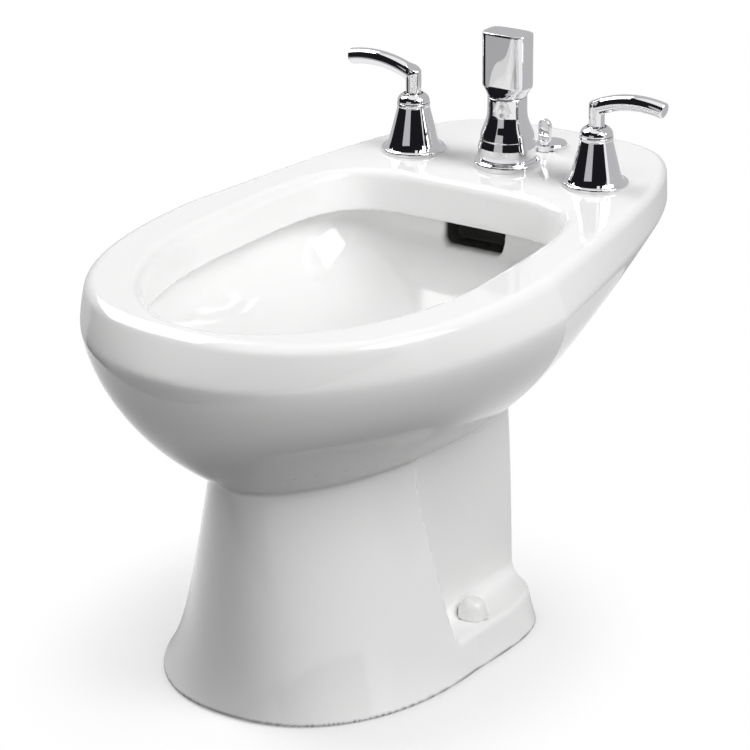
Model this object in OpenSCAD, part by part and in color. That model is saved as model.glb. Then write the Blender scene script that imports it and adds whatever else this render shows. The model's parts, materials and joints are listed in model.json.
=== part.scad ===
/* [China body] */
// Height of the rim above the floor
rim_z = 381; // [360:1:400]
// Half of the rim's greatest width
rim_half_w = 197; // [190:1:204]
// How much the band leans back at the front
lean_front = 29.7; // [24:0.1:35]
// How much the band leans in at the back
lean_back = 7.1; // [4:0.1:10]
// Radius of the rim's outer top edge
rim_r = 8; // [5:0.5:11]
// Half of the body's greatest width, at the foot of the rim band
chine_half_w = 211.4; // [206:0.1:216]
// Half of the body's greatest length, at the foot of the rim band
chine_reach = 346; // [342:1:350]
// Height of the leaning band round the rim
band_h = 35; // [30:1:40]
// Half of the waist's width, where bowl and pedestal meet
waist_half_w = 104.6; // [102:0.1:110]
// How far the waist reaches in front
waist_front = 244.2; // [238:0.1:250]
// How far the waist reaches behind
waist_back = 80.6; // [78:0.1:86]
// Height of the waist
waist_z = 208.4; // [204:0.1:212]
// Half of the foot's greatest width
foot_half_w = 145.1; // [141:0.1:149]
// How far the foot reaches in front
foot_front = 270.5; // [266:0.5:275]
// How far the foot reaches behind
foot_back = 74.5; // [72:0.5:78]
// Thickness of the china walls
wall = 12; // [10:0.5:13]
// Thickness of the faucet deck
deck_t = 14; // [12:0.5:15]
// Half of the width between the two flat side panels
panel_x = 95; // [93:0.5:97]
// Height of the foot's ledge below each panel
ledge_z = 31; // [28:1:34]

/* [Bowl] */
// Half of the lip's greatest width
lip_half_w = 139; // [134:1:142]
// How far the lip hangs below the rim's top
lip_drop = 39; // [36:1:42]
// Height of the upright skirt below the lip
skirt_h = 10; // [8:1:11]
// Height of the bowl's floor above the ground
floor_z = 238; // [237:1:242]
// Half of the overflow slot's width
slot_half_w = 33; // [28:1:36]
// Height of the overflow slot
slot_h = 21; // [16:1:22]
// Distance from the drain's axis to the spray's axis
spray_gap = 72; // [66:1:78]

/* [Faucet] */
// Distance from the middle to each handle
handle_x = 101.6; // [98:0.2:104]
// How far the handles stand in front of the deck's rear edge
handle_back = 136.9; // [134:0.1:140]
// How far the diverter stands in front of the deck's rear edge
diverter_back = 129.9; // [127:0.1:133]
// Radius of each handle's bell at the deck
bell_r = 31.3; // [29:0.1:33]
// Height of each bell
bell_h = 48; // [45:1:52]
// Radius of the lever's round rod
lever_r = 7.7; // [6.8:0.1:8]
// Radius of the lever's arch
lever_arch = 105.3; // [100:0.1:115]
// Distance from the spindle to the top of the arch
arch_reach = 46.2; // [43:0.1:50]
// Height of the arch's middle line above the deck, at its top
arch_top_h = 85.7; // [83:0.1:89]
// Radius of the centre bell at the deck
centre_r = 32; // [30:0.5:34]
// Height of the whole centre piece above the deck
knob_top_h = 131; // [125:0.5:135]
// Length of the diverter knob
knob_len = 47; // [44:1:50]
// Width of the diverter knob
knob_w = 29; // [27:1:32]
// Radius of the spindles that the levers turn
spindle_r = 4; // [3.5:0.1:4.5]
// Radius of the diverter's stem
stem_r = 6; // [5.5:0.1:6.4]
// Radius of the copper tubes
tube_r = 4.76; // [4:0.01:5]

/* [Drain and lift] */
// Radius of the tailpiece
tailpiece_r = 15.875; // [15.5:0.005:16.5]
// Height of the tailpiece's open end
tailpiece_z = 95; // [80:1:105]
// Radius of the drain's flange in the bowl
drain_flange_r = 31; // [29:0.5:33]
// Sideways place of the lift rod
lift_x = 8; // [4:0.5:12]
// How far the lift rod stands in front of the deck's rear edge
lift_back = 71.9; // [69:0.1:77]
// Radius of the lift rod
lift_rod_r = 2.4; // [2:0.1:2.6]
// How far the lift knob travels
lift_travel = 30; // [24:1:32]
// Distance from the pivot ball to the strap
strap_arm = 110; // [105:1:115]
// Distance from the pivot ball to the stopper
stopper_arm = 24; // [22:0.5:25]

/* [Fits] */
// Radial gap between a turning or sliding shaft and its hole
running_fit = 0.05; // [0.03:0.01:0.08]
// Gap between pieces that move past each other
play = 0.4; // [0.3:0.05:0.6]

/* [Hidden] */
$fn = 64;
columns = 64;
eps = 1;
// How far a form runs into the one that it joins
lap = 4;
// How far a cutter stands out of the wall that it cuts
reach = 5;

// Places along the body that follow its length
rim_front = chine_reach - lean_front;
rim_back = chine_reach - lean_back;
handle_y = rim_back - handle_back;
diverter_y = rim_back - diverter_back;
lift_y = rim_back - lift_back;

// Outlines of the china at its main heights
// An outline is [half width, front y, widest y, back y, front power, back power, back taper]
foot_o = [foot_half_w, -foot_front, -78, foot_back, 2.27, 4.1, -0.08];
waist_o = [waist_half_w, -waist_front, -10, waist_back, 1.93, 3.9, 0];
chine_o = [chine_half_w, -chine_reach, -39, chine_reach, 2.09, 4.37, 0.315];
rim_o = [rim_half_w, -rim_front, -39, rim_back, 2.55, 4.45, 0.248];
chine_z = rim_z - band_h;
side_pow = 1.6;
front_pow = 2.2;
back_pow = 0.88;
mid_taper = 0.075;
mid_back_pow = 0.9;
flare_pow = 7.1;
flare_lin = 0.74;
crease_d = 1.2;

// The bowl: slope from the rim's top to the lip, skirt, groove behind it, then the bowl's wall
slope_o = [lip_half_w + 14, -rim_front + 12, -62, lip_half_w + 9, 2.4, 3.9, 0];
lip_o = [lip_half_w, -rim_front + 28, -62, lip_half_w - 6, 2.4, 3.9, 0];
bowl_o = [lip_half_w + 18, -rim_front + 13, -62, lip_half_w + 15, 2.35, 3.9, 0];
lip_z = rim_z - lip_drop;
skirt_z = lip_z - skirt_h;
skirt_t = 7;
groove_h = 11;
drain_y = 36;
drain_hole_r = 22;
floor_o = [46, -76, 4, drain_y + drain_hole_r + 2, 2, 2, 0];
hole_o = [drain_hole_r, drain_y - drain_hole_r, drain_y, drain_y + drain_hole_r, 2, 2, 0];
boss_r = 36;
boss_z = floor_z - 36;
bowl_side_pow = 1.3;
bowl_front_pow = 0.75;
bowl_back_pow = 2;

// The hollow inside the pedestal and round the bowl
panel_wall = 12;
foot_in = [panel_x - panel_wall, -foot_front + 15, -78, foot_back - 12, 2.2, 3.5, 0];
waist_in = [panel_x - panel_wall, -waist_front + 13, -10, waist_back - 10, 2, 3.3, 0];
deck_under = rim_z - deck_t;
roof_z = floor_z - wall;
roof_r = 6;
hollow_y = 172;
hollow_low = 286;
hollow_rows = [hollow_low, 295, 305, 318, 332, chine_z, deck_under];
hollow_steps = 24;
sole_low = 300;
sole_rise = 40;
deck_wall = wall + 2;

function mix(a, b, k) = a + (b - a) * k;
function ease(k) = let (c = min(1, max(0, k))) c * c * (3 - 2 * c);
function inset(o, d) = [o[0] - d, o[1] + d, o[2], o[3] - d, o[4], o[5], o[6]];
function edge(o, t) =
    let (s = abs(sin(t)), c = abs(cos(t)), front = cos(t) >= 0, e = front ? o[4] : o[5],
         y = front ? o[2] - (o[2] - o[1]) * pow(c, 2 / e) : o[2] + (o[3] - o[2]) * pow(c, 2 / e),
         k = front ? 0 : (y - o[2]) / (o[3] - o[2]))
    [sign(sin(t)) * o[0] * pow(s, 2 / e) * (1 - o[6] * k), y];
function ring(o, z) = [for (j = [0:columns - 1]) let (p = edge(o, 360 * j / columns)) [p[0], p[1], z]];

// Outside of the china: pedestal flare, bowl bulge, then the band up to the rim
function flare(z) = let (u = 1 - z / waist_z) mix(pow(u, flare_pow), u, flare_lin);
function bulge(z) =
    let (u = (z - waist_z) / (chine_z - waist_z), e = mix(waist_o, chine_o, u),
         side = 1 - pow(1 - u, side_pow), front = 1 - pow(1 - u, front_pow), back = 1 - pow(1 - u, back_pow))
    [mix(waist_o[0], chine_o[0], side), mix(waist_o[1], chine_o[1], front), e[2],
     mix(waist_o[3], chine_o[3], back), e[4], e[5] - mid_back_pow * sin(180 * u),
     e[6] + mid_taper * sin(180 * u)];
function skin(z) =
    z <= waist_z ? mix(waist_o, foot_o, flare(z)) :
    z <= chine_z ? bulge(z) : mix(chine_o, rim_o, sin(min(90, 90 * (z - chine_z) / (band_h - rim_r))));

// The bowl's wall at an angle a, from 0 at its upright top to 90 at its floor
function bowl_at(a) =
    let (w = pow(cos(a), bowl_side_pow), f = pow(cos(a), bowl_front_pow), b = pow(cos(a), bowl_back_pow))
    [[mix(floor_o[0], bowl_o[0], w), mix(floor_o[1], bowl_o[1], f), mix(floor_o[2], bowl_o[2], w),
      mix(floor_o[3], bowl_o[3], b), mix(floor_o[4], bowl_o[4], w), mix(floor_o[5], bowl_o[5], w), 0],
     mix(skirt_z, floor_z, sin(a))];

// The hollow in the pedestal, and the hollow under the deck behind the bowl's back wall
function hollow(z) = z <= waist_z ? mix(waist_in, foot_in, flare(z)) : waist_in;
function deck_hollow(z) =
    let (o = inset(skin(z - wall * (1 - ease((z - sole_low) / sole_rise))), deck_wall),
         t = acos(pow((hollow_y - o[2]) / (o[3] - o[2]), o[5] / 2)))
    [for (k = [0:hollow_steps]) let (p = edge(o, 180 - t + 2 * t * k / hollow_steps)) [p[0], p[1], z]];

outer_rings = concat(
    [ring(inset(foot_o, 3.2), 0), ring(inset(skin(2), 1.2), 2)],
    [ring(inset(skin(6), 0.3), 6), ring(skin(14), 14)],
    [for (k = [1:7]) ring(skin(waist_z * k / 8), waist_z * k / 8)],
    [ring(inset(skin(waist_z - 5), -crease_d / 4), waist_z - 5), ring(inset(waist_o, -crease_d), waist_z)],
    [for (k = [1:9]) let (z = mix(waist_z, chine_z, pow(k / 10, 1.25))) ring(skin(z), z)],
    [ring(inset(chine_o, 0.6), chine_z), ring(skin(chine_z + 4), chine_z + 4)],
    [for (k = [1:3]) let (z = mix(chine_z + 4, rim_z - rim_r, k / 3)) ring(skin(z), z)],
    [for (a = [22.5:22.5:90]) ring(inset(rim_o, rim_r * (1 - cos(a))), rim_z - rim_r * (1 - sin(a)))]);
slope_rings = [for (f = [0, 0.15, 0.3, 0.5, 0.75, 1])
    ring(mix(slope_o, lip_o, 1 - pow(1 - f, 1.6)), rim_z - lip_drop * pow(f, 1.6))];
groove_rings = [
    ring(inset(lip_o, -1), lip_z - 2), ring(inset(lip_o, -1), skirt_z),
    ring(inset(lip_o, 1 - skirt_t), skirt_z), ring(inset(lip_o, -skirt_t), skirt_z + groove_h / 2),
    ring(inset(lip_o, -2 * skirt_t), skirt_z + groove_h),
    ring(bowl_o, skirt_z + 4)];
bowl_rings = concat(
    [for (a = [0:10:80]) let (b = bowl_at(a)) ring(b[0], b[1])],
    [ring(floor_o, floor_z), ring(inset(hole_o, 4), floor_z - 1), ring(inset(hole_o, 4), roof_z)]);
roof_rings = [
    ring(inset(floor_o, -2), roof_z), ring(inset(waist_in, roof_r), roof_z - 1),
    ring(waist_in, roof_z - roof_r)];
hollow_rings = [for (k = [6:-1:0]) ring(hollow(waist_z * k / 6), waist_z * k / 6)];
china_rings = concat(outer_rings, slope_rings, groove_rings, bowl_rings, roof_rings, hollow_rings);

// A closed skin through rings of points, each joined to the next and the last to the first
module loft(rings) {
    n = len(rings);
    m = len(rings[0]);
    polyhedron(
        points = [for (r = rings) each r],
        faces = [for (i = [0:n - 1], j = [0:m - 1], h = [0, 1])
            let (a = i * m, b = ((i + 1) % n) * m, k = (j + 1) % m)
            h == 0 ? [a + j, b + j, b + k] : [a + j, b + k, a + k]],
        convexity = 10);
}
// A solid through rings of points, closed by flat ends
module stack(rings) {
    n = len(rings);
    m = len(rings[0]);
    polyhedron(
        points = [for (r = rings) each r],
        faces = concat(
            [[for (j = [0:m - 1]) j]],
            [for (i = [0:n - 2], j = [0:m - 1], h = [0, 1])
                let (a = i * m, b = (i + 1) * m, k = (j + 1) % m)
                h == 0 ? [a + j, b + j, b + k] : [a + j, b + k, a + k]],
            [[for (j = [m - 1:-1:0]) (n - 1) * m + j]]),
        convexity = 4);
}
module post(r, low, high) {
    translate([0, 0, low]) cylinder(r = r, h = high - low);
}
module collar(outer, inner, low, high) {
    difference() {
        post(outer, low, high);
        post(inner, low - eps, high + eps);
    }
}
module hex(flats, low, high) {
    translate([0, 0, low]) cylinder(r = flats / sqrt(3), h = high - low, $fn = 6);
}
module nut(flats, inner, low, high) {
    difference() {
        hex(flats, low, high);
        post(inner, low - eps, high + eps);
    }
}
// Stands its child's +Z along the line from a to b, with its origin at a
module along(a, b) {
    d = b - a;
    translate(a) rotate([0, acos(d[2] / norm(d)), atan2(d[1], d[0])]) children();
}
module sides() {
    for (s = [-1, 1]) scale([s, 1, 1]) children();
}

// Places of the faucet's pieces
outlet_z = 328;
inlet_z = 302;
inlet_len = 14;
relief = 2;
thread_r = 10.45;
valve_r = 13;
diverter_r = 14;
deck_hole_r = 16;
supply_dir = atan2(diverter_y - handle_y, handle_x);
gasket_r = 20;
gasket_t = 3;
washer_t = 2;
locknut_t = 10;
locknut_flats = 36;
gasket_z = deck_under - gasket_t;
washer_z = gasket_z - washer_t;
locknut_z = washer_z - locknut_t;

// The pieces of the floor fixing
bolt_x = 113;
bolt_y = -34;
bolt_hole_r = 6.5;
cap_r = 13.5;
cap_h = 17;
cap_t = 2;
cap_rim = 4;
cap_lean = 0.12;
base_t = 3;

// Places of the drain, its rod and the overflow
pivot_y = drain_y + stopper_arm;
pivot_z = 165;
rod_tilt = asin(lift_travel / 2 / strap_arm);
strap_foot = [0, pivot_y + strap_arm * cos(rod_tilt), pivot_z - lift_travel / 2];
strap_head = [lift_x, lift_y, 292];
stopper_travel = lift_travel * stopper_arm / strap_arm;
duct_r = 7;
duct_top = [0, 168, 283];
drain_port_z = boss_z + 14;
duct_end = [0, drain_y + drain_hole_r - 1, drain_port_z];
slot_z = skirt_z - 20;
slot_r = 7;
slot_depth = 50;
box_half_w = slot_half_w + 9;
box_front = 160;
box_back = 184;
box_low = 280;
box_wall = 8;
wing_x = 118;
wing_y = 185;
rim_inlet_x = -62;
rim_inlet_z = skirt_z + groove_h;
rim_inlet_r = 6;
spray_y = drain_y - spray_gap;
spray_hole_r = 11;
spray_boss_r = 22;
rod_hole_r = 8;

module china_body() {
    color("white") difference() {
        union() {
            difference() {
                loft(china_rings);
                stack([for (z = hollow_rows) deck_hollow(z)]);
            }
            translate([0, drain_y, 0]) post(boss_r, boss_z, roof_z + lap);
            translate([0, spray_y, 0]) post(spray_boss_r, roof_z - 2, roof_z + lap);
            translate([-box_half_w, box_front, box_low])
                cube([2 * box_half_w, box_back - box_front, slot_z + slot_h + slot_r - box_low]);
        }
        bowl_holes();
        overflow_slot();
        overflow_duct();
        sides() side_panel();
        deck_holes();
        pedestal_arch();
        rear_opening();
    }
}
module bowl_holes() {
    translate([0, drain_y, 0]) {
        post(drain_hole_r, boss_z - eps, floor_z + eps);
        post(drain_flange_r + play, floor_z - 1, floor_z + 8);
    }
    translate([0, spray_y, 0]) post(spray_hole_r, roof_z - 8, floor_z + reach);
}
module deck_holes() {
    low = deck_under - reach;
    high = rim_z + reach;
    sides() translate([handle_x, handle_y, 0]) post(deck_hole_r, low, high);
    translate([0, diverter_y, 0]) post(deck_hole_r, low, high);
    translate([lift_x, lift_y, 0]) post(rod_hole_r, low, high);
    translate([rim_inlet_x, hollow_y - 22, rim_inlet_z]) rotate([-90, 0, 0])
        cylinder(r = rim_inlet_r, h = 30);
}
module overflow_duct() {
    start = 8;
    length = norm(duct_top - duct_end) + start;
    along(duct_end, duct_top) translate([0, 0, -start]) cylinder(r = duct_r, h = length);
    translate([duct_top[0], duct_top[1], 0]) post(duct_r + 1, duct_top[2] - lap, slot_z + lap);
}
module overflow_slot() {
    r = slot_r;
    flat = slot_half_w - r;
    translate([0, box_back - box_wall, slot_z]) rotate([90, 0, 0]) linear_extrude(slot_depth) {
        translate([0, slot_h]) square([2 * slot_half_w, 2 * r], center = true);
        translate([-slot_half_w, r]) square([2 * slot_half_w, slot_h - r]);
        translate([-flat, 0]) square([2 * flat, r + 1]);
        for (s = [-1, 1]) translate([s * flat, r]) circle(r);
    }
}
module side_panel() {
    fillet = 12;
    width = 100;
    length = 400;
    top = waist_z + 6;
    over = top + 30;
    front = 90;
    slant = 16;
    straight = top - 30;
    intersection() {
        translate([0, length / 2, 0]) rotate([90, 0, 0]) linear_extrude(length) difference() {
            translate([panel_x, ledge_z]) square([width, top - ledge_z]);
            difference() {
                translate([panel_x, ledge_z]) square(fillet);
                translate([panel_x + fillet, ledge_z + fillet]) circle(fillet);
            }
        }
        rotate([90, 0, 90]) linear_extrude(panel_x + width)
            polygon([[-front, 0], [-front, ledge_z], [-front - slant, straight], [-front - slant, over],
                     [length / 2, over], [length / 2, 0]]);
    }
    translate([bolt_x, bolt_y, 0]) {
        post(bolt_hole_r, -eps, ledge_z + eps);
        post(cap_r + play, ledge_z, ledge_z + fillet);
    }
}
module pedestal_arch() {
    half_w = 62;
    r = 30;
    top = 200;
    back = 120;
    depth = 72;
    translate([0, back, 0]) rotate([90, 0, 0]) linear_extrude(depth) {
        translate([-half_w, -eps]) square([2 * half_w, top - r + eps]);
        translate([r - half_w, 0]) square([2 * (half_w - r), top]);
        for (s = [-1, 1]) translate([s * (half_w - r), top - r]) circle(r);
    }
}
module rear_opening() {
    wide = wing_x + 22;
    low = 150;
    top = rim_z - 41;
    splay = top - 32;
    behind = 400;
    translate([0, behind, 0]) rotate([90, 0, 0]) linear_extrude(behind - wing_y)
        polygon([[-wing_x, low], [wing_x, low], [wing_x, splay], [wide, top], [-wide, top],
                 [-wing_x, splay]]);
}

module bolt_caps() {
    color("white") sides() translate([bolt_x, bolt_y, ledge_z]) rotate_extrude() difference() {
        cap_profile(cap_r, cap_h);
        cap_profile(cap_r - cap_t, cap_h - cap_t);
    }
}
module cap_profile(r, h) {
    polygon(concat([[0, 0], [r, 0]],
        [for (a = [0:10:90])
            [r * (1 - cap_lean * sin(a)) * pow(cos(a), 0.5), cap_rim + (h - cap_rim) * sin(a)]]));
}
module cap_bases() {
    color("whitesmoke") sides() translate([bolt_x, bolt_y, ledge_z])
        collar(cap_r - cap_t - 0.3, bolt_hole_r, 0, base_t);
}

// Handles
hub_r = 8.8;
lever_z = rim_z + bell_h + play;
arch_z = rim_z + arch_top_h - lever_arch;
lever_tip = 76;
lever_tail = 122;
spindle_top = rim_z + 70;
screw_z = rim_z + 60;
screw_r = 2;
plug_r = valve_r - 4;
plug_z = outlet_z + 10;
port_r = 8;
bonnet_z = rim_z + 20;
bonnet_flats = 24;
module at_handle(s) {
    translate([s * handle_x, handle_y, 0]) scale([s, 1, 1]) children();
}
bell_t = 1.6;
bell_top_r = 16;
bell_hole_r = spindle_r + 7;
bell_foot_h = 2.6;
bell_foot_r = 1.4;
bell_neck_z = 6;
bell_bead = 4;
module bell() {
    color("silver") translate([0, 0, rim_z]) rotate_extrude() difference() {
        bell_profile(0);
        bell_profile(bell_t);
    }
}
// The bell's outline from its foot's rounded ring up the flare; t is how far inside it lies
module bell_profile(t) {
    inner = t > 0;
    low_r = bell_r - t;
    foot_h = bell_foot_h - t / 2;
    flare_r = bell_r - 5.6;
    flare_top_r = bell_top_r - 0.6;
    flare_top_z = bell_h - bell_bead;
    polygon(concat(
        [[inner ? 0 : bell_hole_r, inner ? -eps : 0], [low_r, inner ? -eps : 0], [low_r, foot_h]],
        [for (a = [30:30:90]) [low_r - bell_foot_r * (1 - cos(a)), foot_h + bell_foot_r * sin(a)]],
        [[low_r - 4, foot_h + 1.6], [low_r - 5, bell_neck_z]],
        [for (k = [1:6])
            [mix(flare_r, flare_top_r, pow(k / 6, 0.92)) - t, mix(bell_neck_z, flare_top_z, k / 6)]],
        inner ? [[bell_top_r - t, bell_h - 2], [0, bell_h - 2]] :
        [[flare_top_r, flare_top_z], for (a = [-60:30:90]) [bell_top_r - 1 + cos(a), bell_h - 2 + 2 * sin(a)],
         [bell_hole_r, bell_h]]));
}
module lever() {
    color("silver") difference() {
        union() {
            lever_dome();
            lever_hub();
            lever_rod();
        }
        post(spindle_r, lever_z - eps, spindle_top + 1);
        translate([0, 0, screw_z]) rotate([-90, 0, 0]) cylinder(r = screw_r, h = 20);
    }
}
module lever_dome() {
    dome_r = 15.6;
    dome_h = 9;
    edge_h = 1;
    rotate_extrude() polygon(concat(
        [[0, lever_z], [dome_r - 0.6, lever_z], [dome_r, lever_z + edge_h]],
        [for (a = [15:15:75])
            [mix(hub_r, dome_r, pow(cos(a), 1.3)), lever_z + edge_h + (dome_h - edge_h) * sin(a)]],
        [[hub_r, lever_z + dome_h], [0, lever_z + dome_h]]));
}
// The upright hub, its top cut by the arch's own curve
module lever_hub() {
    saddle = 1;
    thick = 40;
    difference() {
        post(hub_r, lever_z + 9, rim_z + 96);
        translate([arch_reach, thick / 2, arch_z]) rotate([90, 0, 0]) difference() {
            cylinder(r = lever_arch + 60, h = thick);
            translate([0, 0, -eps])
                cylinder(r = lever_arch + lever_r - saddle, h = thick + 2 * eps, $fn = 128);
        }
    }
}
// The arched rod, its tail kept inside the hub
module lever_rod() {
    box = 40;
    difference() {
        translate([arch_reach, 0, arch_z]) rotate([90, 0, 0]) rotate([0, 0, lever_tip])
            rotate_extrude(angle = lever_tail - lever_tip, $fn = 128)
                translate([lever_arch, 0]) circle(lever_r, $fn = 32);
        difference() {
            translate([-box, -box / 2, rim_z + box]) cube([box, box, 2 * box]);
            post(hub_r, rim_z + 30, rim_z + 130);
        }
    }
}
module spindle() {
    color("gold") {
        post(spindle_r, rim_z + 4, spindle_top);
        post(plug_r - running_fit, plug_z, rim_z + 6);
    }
}
module set_screw() {
    socket = 1.1;
    color("dimgray") translate([0, spindle_r, screw_z]) rotate([-90, 0, 0]) difference() {
        cylinder(r = screw_r, h = hub_r - spindle_r - 0.8);
        translate([0, 0, 2]) cylinder(r = socket, h = 10, $fn = 6);
    }
}
module valve_body() {
    thread_top = inlet_z + inlet_len;
    color("goldenrod") difference() {
        union() {
            post(20, rim_z, rim_z + 3);
            post(valve_r, thread_top + relief, bonnet_z);
            post(thread_r - relief / 2, inlet_z, thread_top + 2 * relief);
            post(thread_r, inlet_z, thread_top);
            valve_port(port_r, valve_r + 8);
        }
        post(plug_r - 1, inlet_z - eps, plug_z);
        post(plug_r, outlet_z + 6, bonnet_z + eps);
        valve_port(tube_r, 40);
    }
}
// The valve's side port, pointing along the tube to the diverter
module valve_port(r, length) {
    translate([0, 0, outlet_z]) rotate([0, -90, -supply_dir]) cylinder(r = r, h = length);
}
module bonnet() {
    color("gold") nut(bonnet_flats, spindle_r + running_fit, bonnet_z, bonnet_z + 10);
}
module left_bell() { at_handle(-1) bell(); }
module right_bell() { at_handle(1) bell(); }
module left_lever() { at_handle(-1) lever(); }
module right_lever() { at_handle(1) lever(); }
module left_spindle() { at_handle(-1) spindle(); }
module right_spindle() { at_handle(1) spindle(); }
module left_set_screw() { at_handle(-1) set_screw(); }
module right_set_screw() { at_handle(1) set_screw(); }
module left_valve_body() { at_handle(-1) valve_body(); }
module right_valve_body() { at_handle(1) valve_body(); }
module left_bonnet() { at_handle(-1) bonnet(); }
module right_bonnet() { at_handle(1) bonnet(); }

module each_shank() {
    for (p = [[-handle_x, handle_y, valve_r], [handle_x, handle_y, valve_r], [0, diverter_y, diverter_r]])
        translate([p[0], p[1], 0]) {
            $shank_r = p[2];
            children();
        }
}
module deck_gaskets() {
    color("black") each_shank() collar(gasket_r, $shank_r, gasket_z, deck_under);
}
module deck_washers() {
    color("silver") each_shank() collar(gasket_r + 0.5, $shank_r, washer_z, gasket_z);
}
module deck_locknuts() {
    color("gold") each_shank() nut(locknut_flats, $shank_r, locknut_z, washer_z);
}

// Centre piece: a bell over the vacuum breaker, with the diverter's knob on top
knob_z = rim_z + 69;
neck_r = 19;
chamber_r = 17;
chamber_top = rim_z + 37;
chamber_bore_r = chamber_r - 3.5;
breather_r = 1.5;
breather_at = 11;
stem_top = knob_z + 26;
stem_plug_r = 9;
centre_t = 1.8;
centre_foot_h = 4.4;
centre_foot_r = 1.6;
bulb_r = centre_r - 4;
bulb_z = 17;
shoulder_low = 25;
shoulder_high = 50;
module centre_bell() {
    color("silver") translate([0, diverter_y, rim_z]) rotate_extrude() difference() {
        centre_profile(0);
        centre_profile(centre_t);
    }
}
// Foot ring, round bulb, shoulder and neck; t is how far inside the outline lies
module centre_profile(t) {
    inner = t > 0;
    hole_r = inner ? 0 : stem_r + 3;
    foot = inner ? -eps : 0;
    low_r = centre_r - t;
    foot_h = centre_foot_h - t / 2;
    top = knob_z - rim_z - play - (inner ? 2 : 0);
    polygon(concat(
        [[hole_r, foot], [low_r, foot], [low_r, foot_h]],
        [for (a = [30:30:90]) [low_r - centre_foot_r * (1 - cos(a)), foot_h + centre_foot_r * sin(a)]],
        [[low_r - 4.4, 6.4], [low_r - 4.9, 9]],
        [for (a = [-50:20:50]) [bulb_r - 4 + 4 * cos(a) - t, bulb_z + 10 * sin(a)]],
        [for (k = [1:6])
            [mix(centre_r - 5.6, neck_r + 0.2, ease(k / 6)) - t, mix(shoulder_low, shoulder_high, k / 6)]],
        [[neck_r - t, shoulder_high + 4], [neck_r - t, top], [hole_r, top]]));
}
// A rounded block whose lower end narrows to the neck
module diverter_knob() {
    cx = knob_len / 2;
    cy = knob_w / 2;
    top = rim_z + knob_top_h;
    bevel = 1.5;
    waist_at = knob_z + 8;
    step = 360 / 48;
    // Rows of half length, half width, height and power
    rows = [
        [neck_r, cy - 0.5, knob_z, 2.2], [neck_r + 0.4, cy - 0.4, knob_z + 2, 2.4],
        [cx - 0.6, cy - 0.3, waist_at, 3.6], [cx, cy, waist_at + bevel, 4], [cx, cy, top - bevel, 4],
        [cx - bevel / 3, cy - bevel / 3, top - bevel / 2, 4], [cx - bevel, cy - bevel, top, 4]];
    color("silver") translate([0, diverter_y, 0]) difference() {
        stack([for (r = rows)
            [for (t = [0:step:360 - step]) [lobe(r[0], cos(t), r[3]), lobe(r[1], sin(t), r[3]), r[2]]]]);
        post(stem_r, knob_z - eps, stem_top);
    }
}
function lobe(half, part, power) = half * sign(part) * pow(abs(part), 2 / power);
module diverter_stem() {
    color("gold") translate([0, diverter_y, 0]) {
        post(stem_r, rim_z - 30, stem_top);
        post(stem_plug_r - running_fit, plug_z, rim_z - 2);
    }
}
module diverter_body() {
    color("goldenrod") translate([0, diverter_y, 0]) difference() {
        union() {
            post(22, rim_z, rim_z + 4);
            post(diverter_r, outlet_z - 12, rim_z + 10);
            post(chamber_r, rim_z + 4, chamber_top);
            diverter_ports(port_r, diverter_r + 8);
            rim_port(port_r - 0.5, diverter_r + 8);
        }
        post(stem_plug_r, outlet_z - 2, rim_z + 8);
        post(chamber_bore_r, rim_z + 6, chamber_top + eps);
        post(tube_r, outlet_z - 13, outlet_z);
        diverter_ports(tube_r, 40);
        rim_port(tube_r, 40);
    }
}
module diverter_ports(r, length) {
    for (s = [-1, 1]) translate([0, 0, outlet_z]) rotate([0, s * 90, -s * supply_dir])
        cylinder(r = r, h = length);
}
module rim_port(r, length) {
    translate([0, 0, rim_inlet_z]) rotate([-90, 0, 0]) cylinder(r = r, h = length);
}
module breaker_bonnet() {
    high = chamber_top + 6;
    color("gold") translate([0, diverter_y, 0]) difference() {
        post(chamber_r, chamber_top, high);
        post(stem_r + running_fit, chamber_top - eps, high + eps);
        for (a = [0:60:300]) rotate([0, 0, a]) translate([breather_at, 0, 0])
            post(breather_r, chamber_top - eps, high + eps);
    }
}
module float_ring() {
    low = rim_z + 8;
    color("black") translate([0, diverter_y, 0]) collar(chamber_bore_r - 1, stem_r + play, low, low + 6);
}

// Tubes under the deck
supply_len = norm([handle_x, diverter_y - handle_y]);
tube_wall = 1;
tube_lap = 2;
supply_flats = 15;
supply_nut_h = 10;
module at_supply(s) {
    translate([0, diverter_y, outlet_z]) rotate([0, s * 90, -s * supply_dir]) children();
}
module supply_tube(s) {
    color("chocolate") at_supply(s) translate([0, 0, diverter_r + tube_lap]) difference() {
        cylinder(r = tube_r, h = supply_len - valve_r - diverter_r - 2 * tube_lap);
        translate([0, 0, -eps]) cylinder(r = tube_r - tube_wall, h = supply_len);
    }
}
module hot_tube() { supply_tube(-1); }
module cold_tube() { supply_tube(1); }
module supply_nuts() {
    near = diverter_r + 8;
    far = supply_len - valve_r - 8;
    color("gold") for (s = [-1, 1]) at_supply(s) {
        nut(supply_flats, tube_r, near, near + supply_nut_h);
        nut(supply_flats, tube_r, far - supply_nut_h, far);
    }
}
function unit(v) = v / norm(v);
function bend(p, q, s, r) =
    let (a = q + unit(p - q) * r, b = q + unit(s - q) * r)
    [for (k = [0:5]) let (t = k / 5) a * (1 - t) * (1 - t) + q * 2 * t * (1 - t) + b * t * t];
function route(p, r) =
    concat([p[0]], [for (i = [1:len(p) - 2]) each bend(p[i - 1], p[i], p[i + 1], r)], [p[len(p) - 1]]);
// A bent tube along a path, with its rings turned from one fixed sideways direction
module pipe(path, r, side) {
    n = len(path);
    m = 12;
    stack([for (i = [0:n - 1])
        let (d = unit(path[min(i + 1, n - 1)] - path[max(i - 1, 0)]),
             u = unit(cross(side, d)), v = cross(d, u))
        [for (j = [0:m - 1]) path[i] + r * (cos(-30 * j) * u + sin(-30 * j) * v)]]);
}
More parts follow.
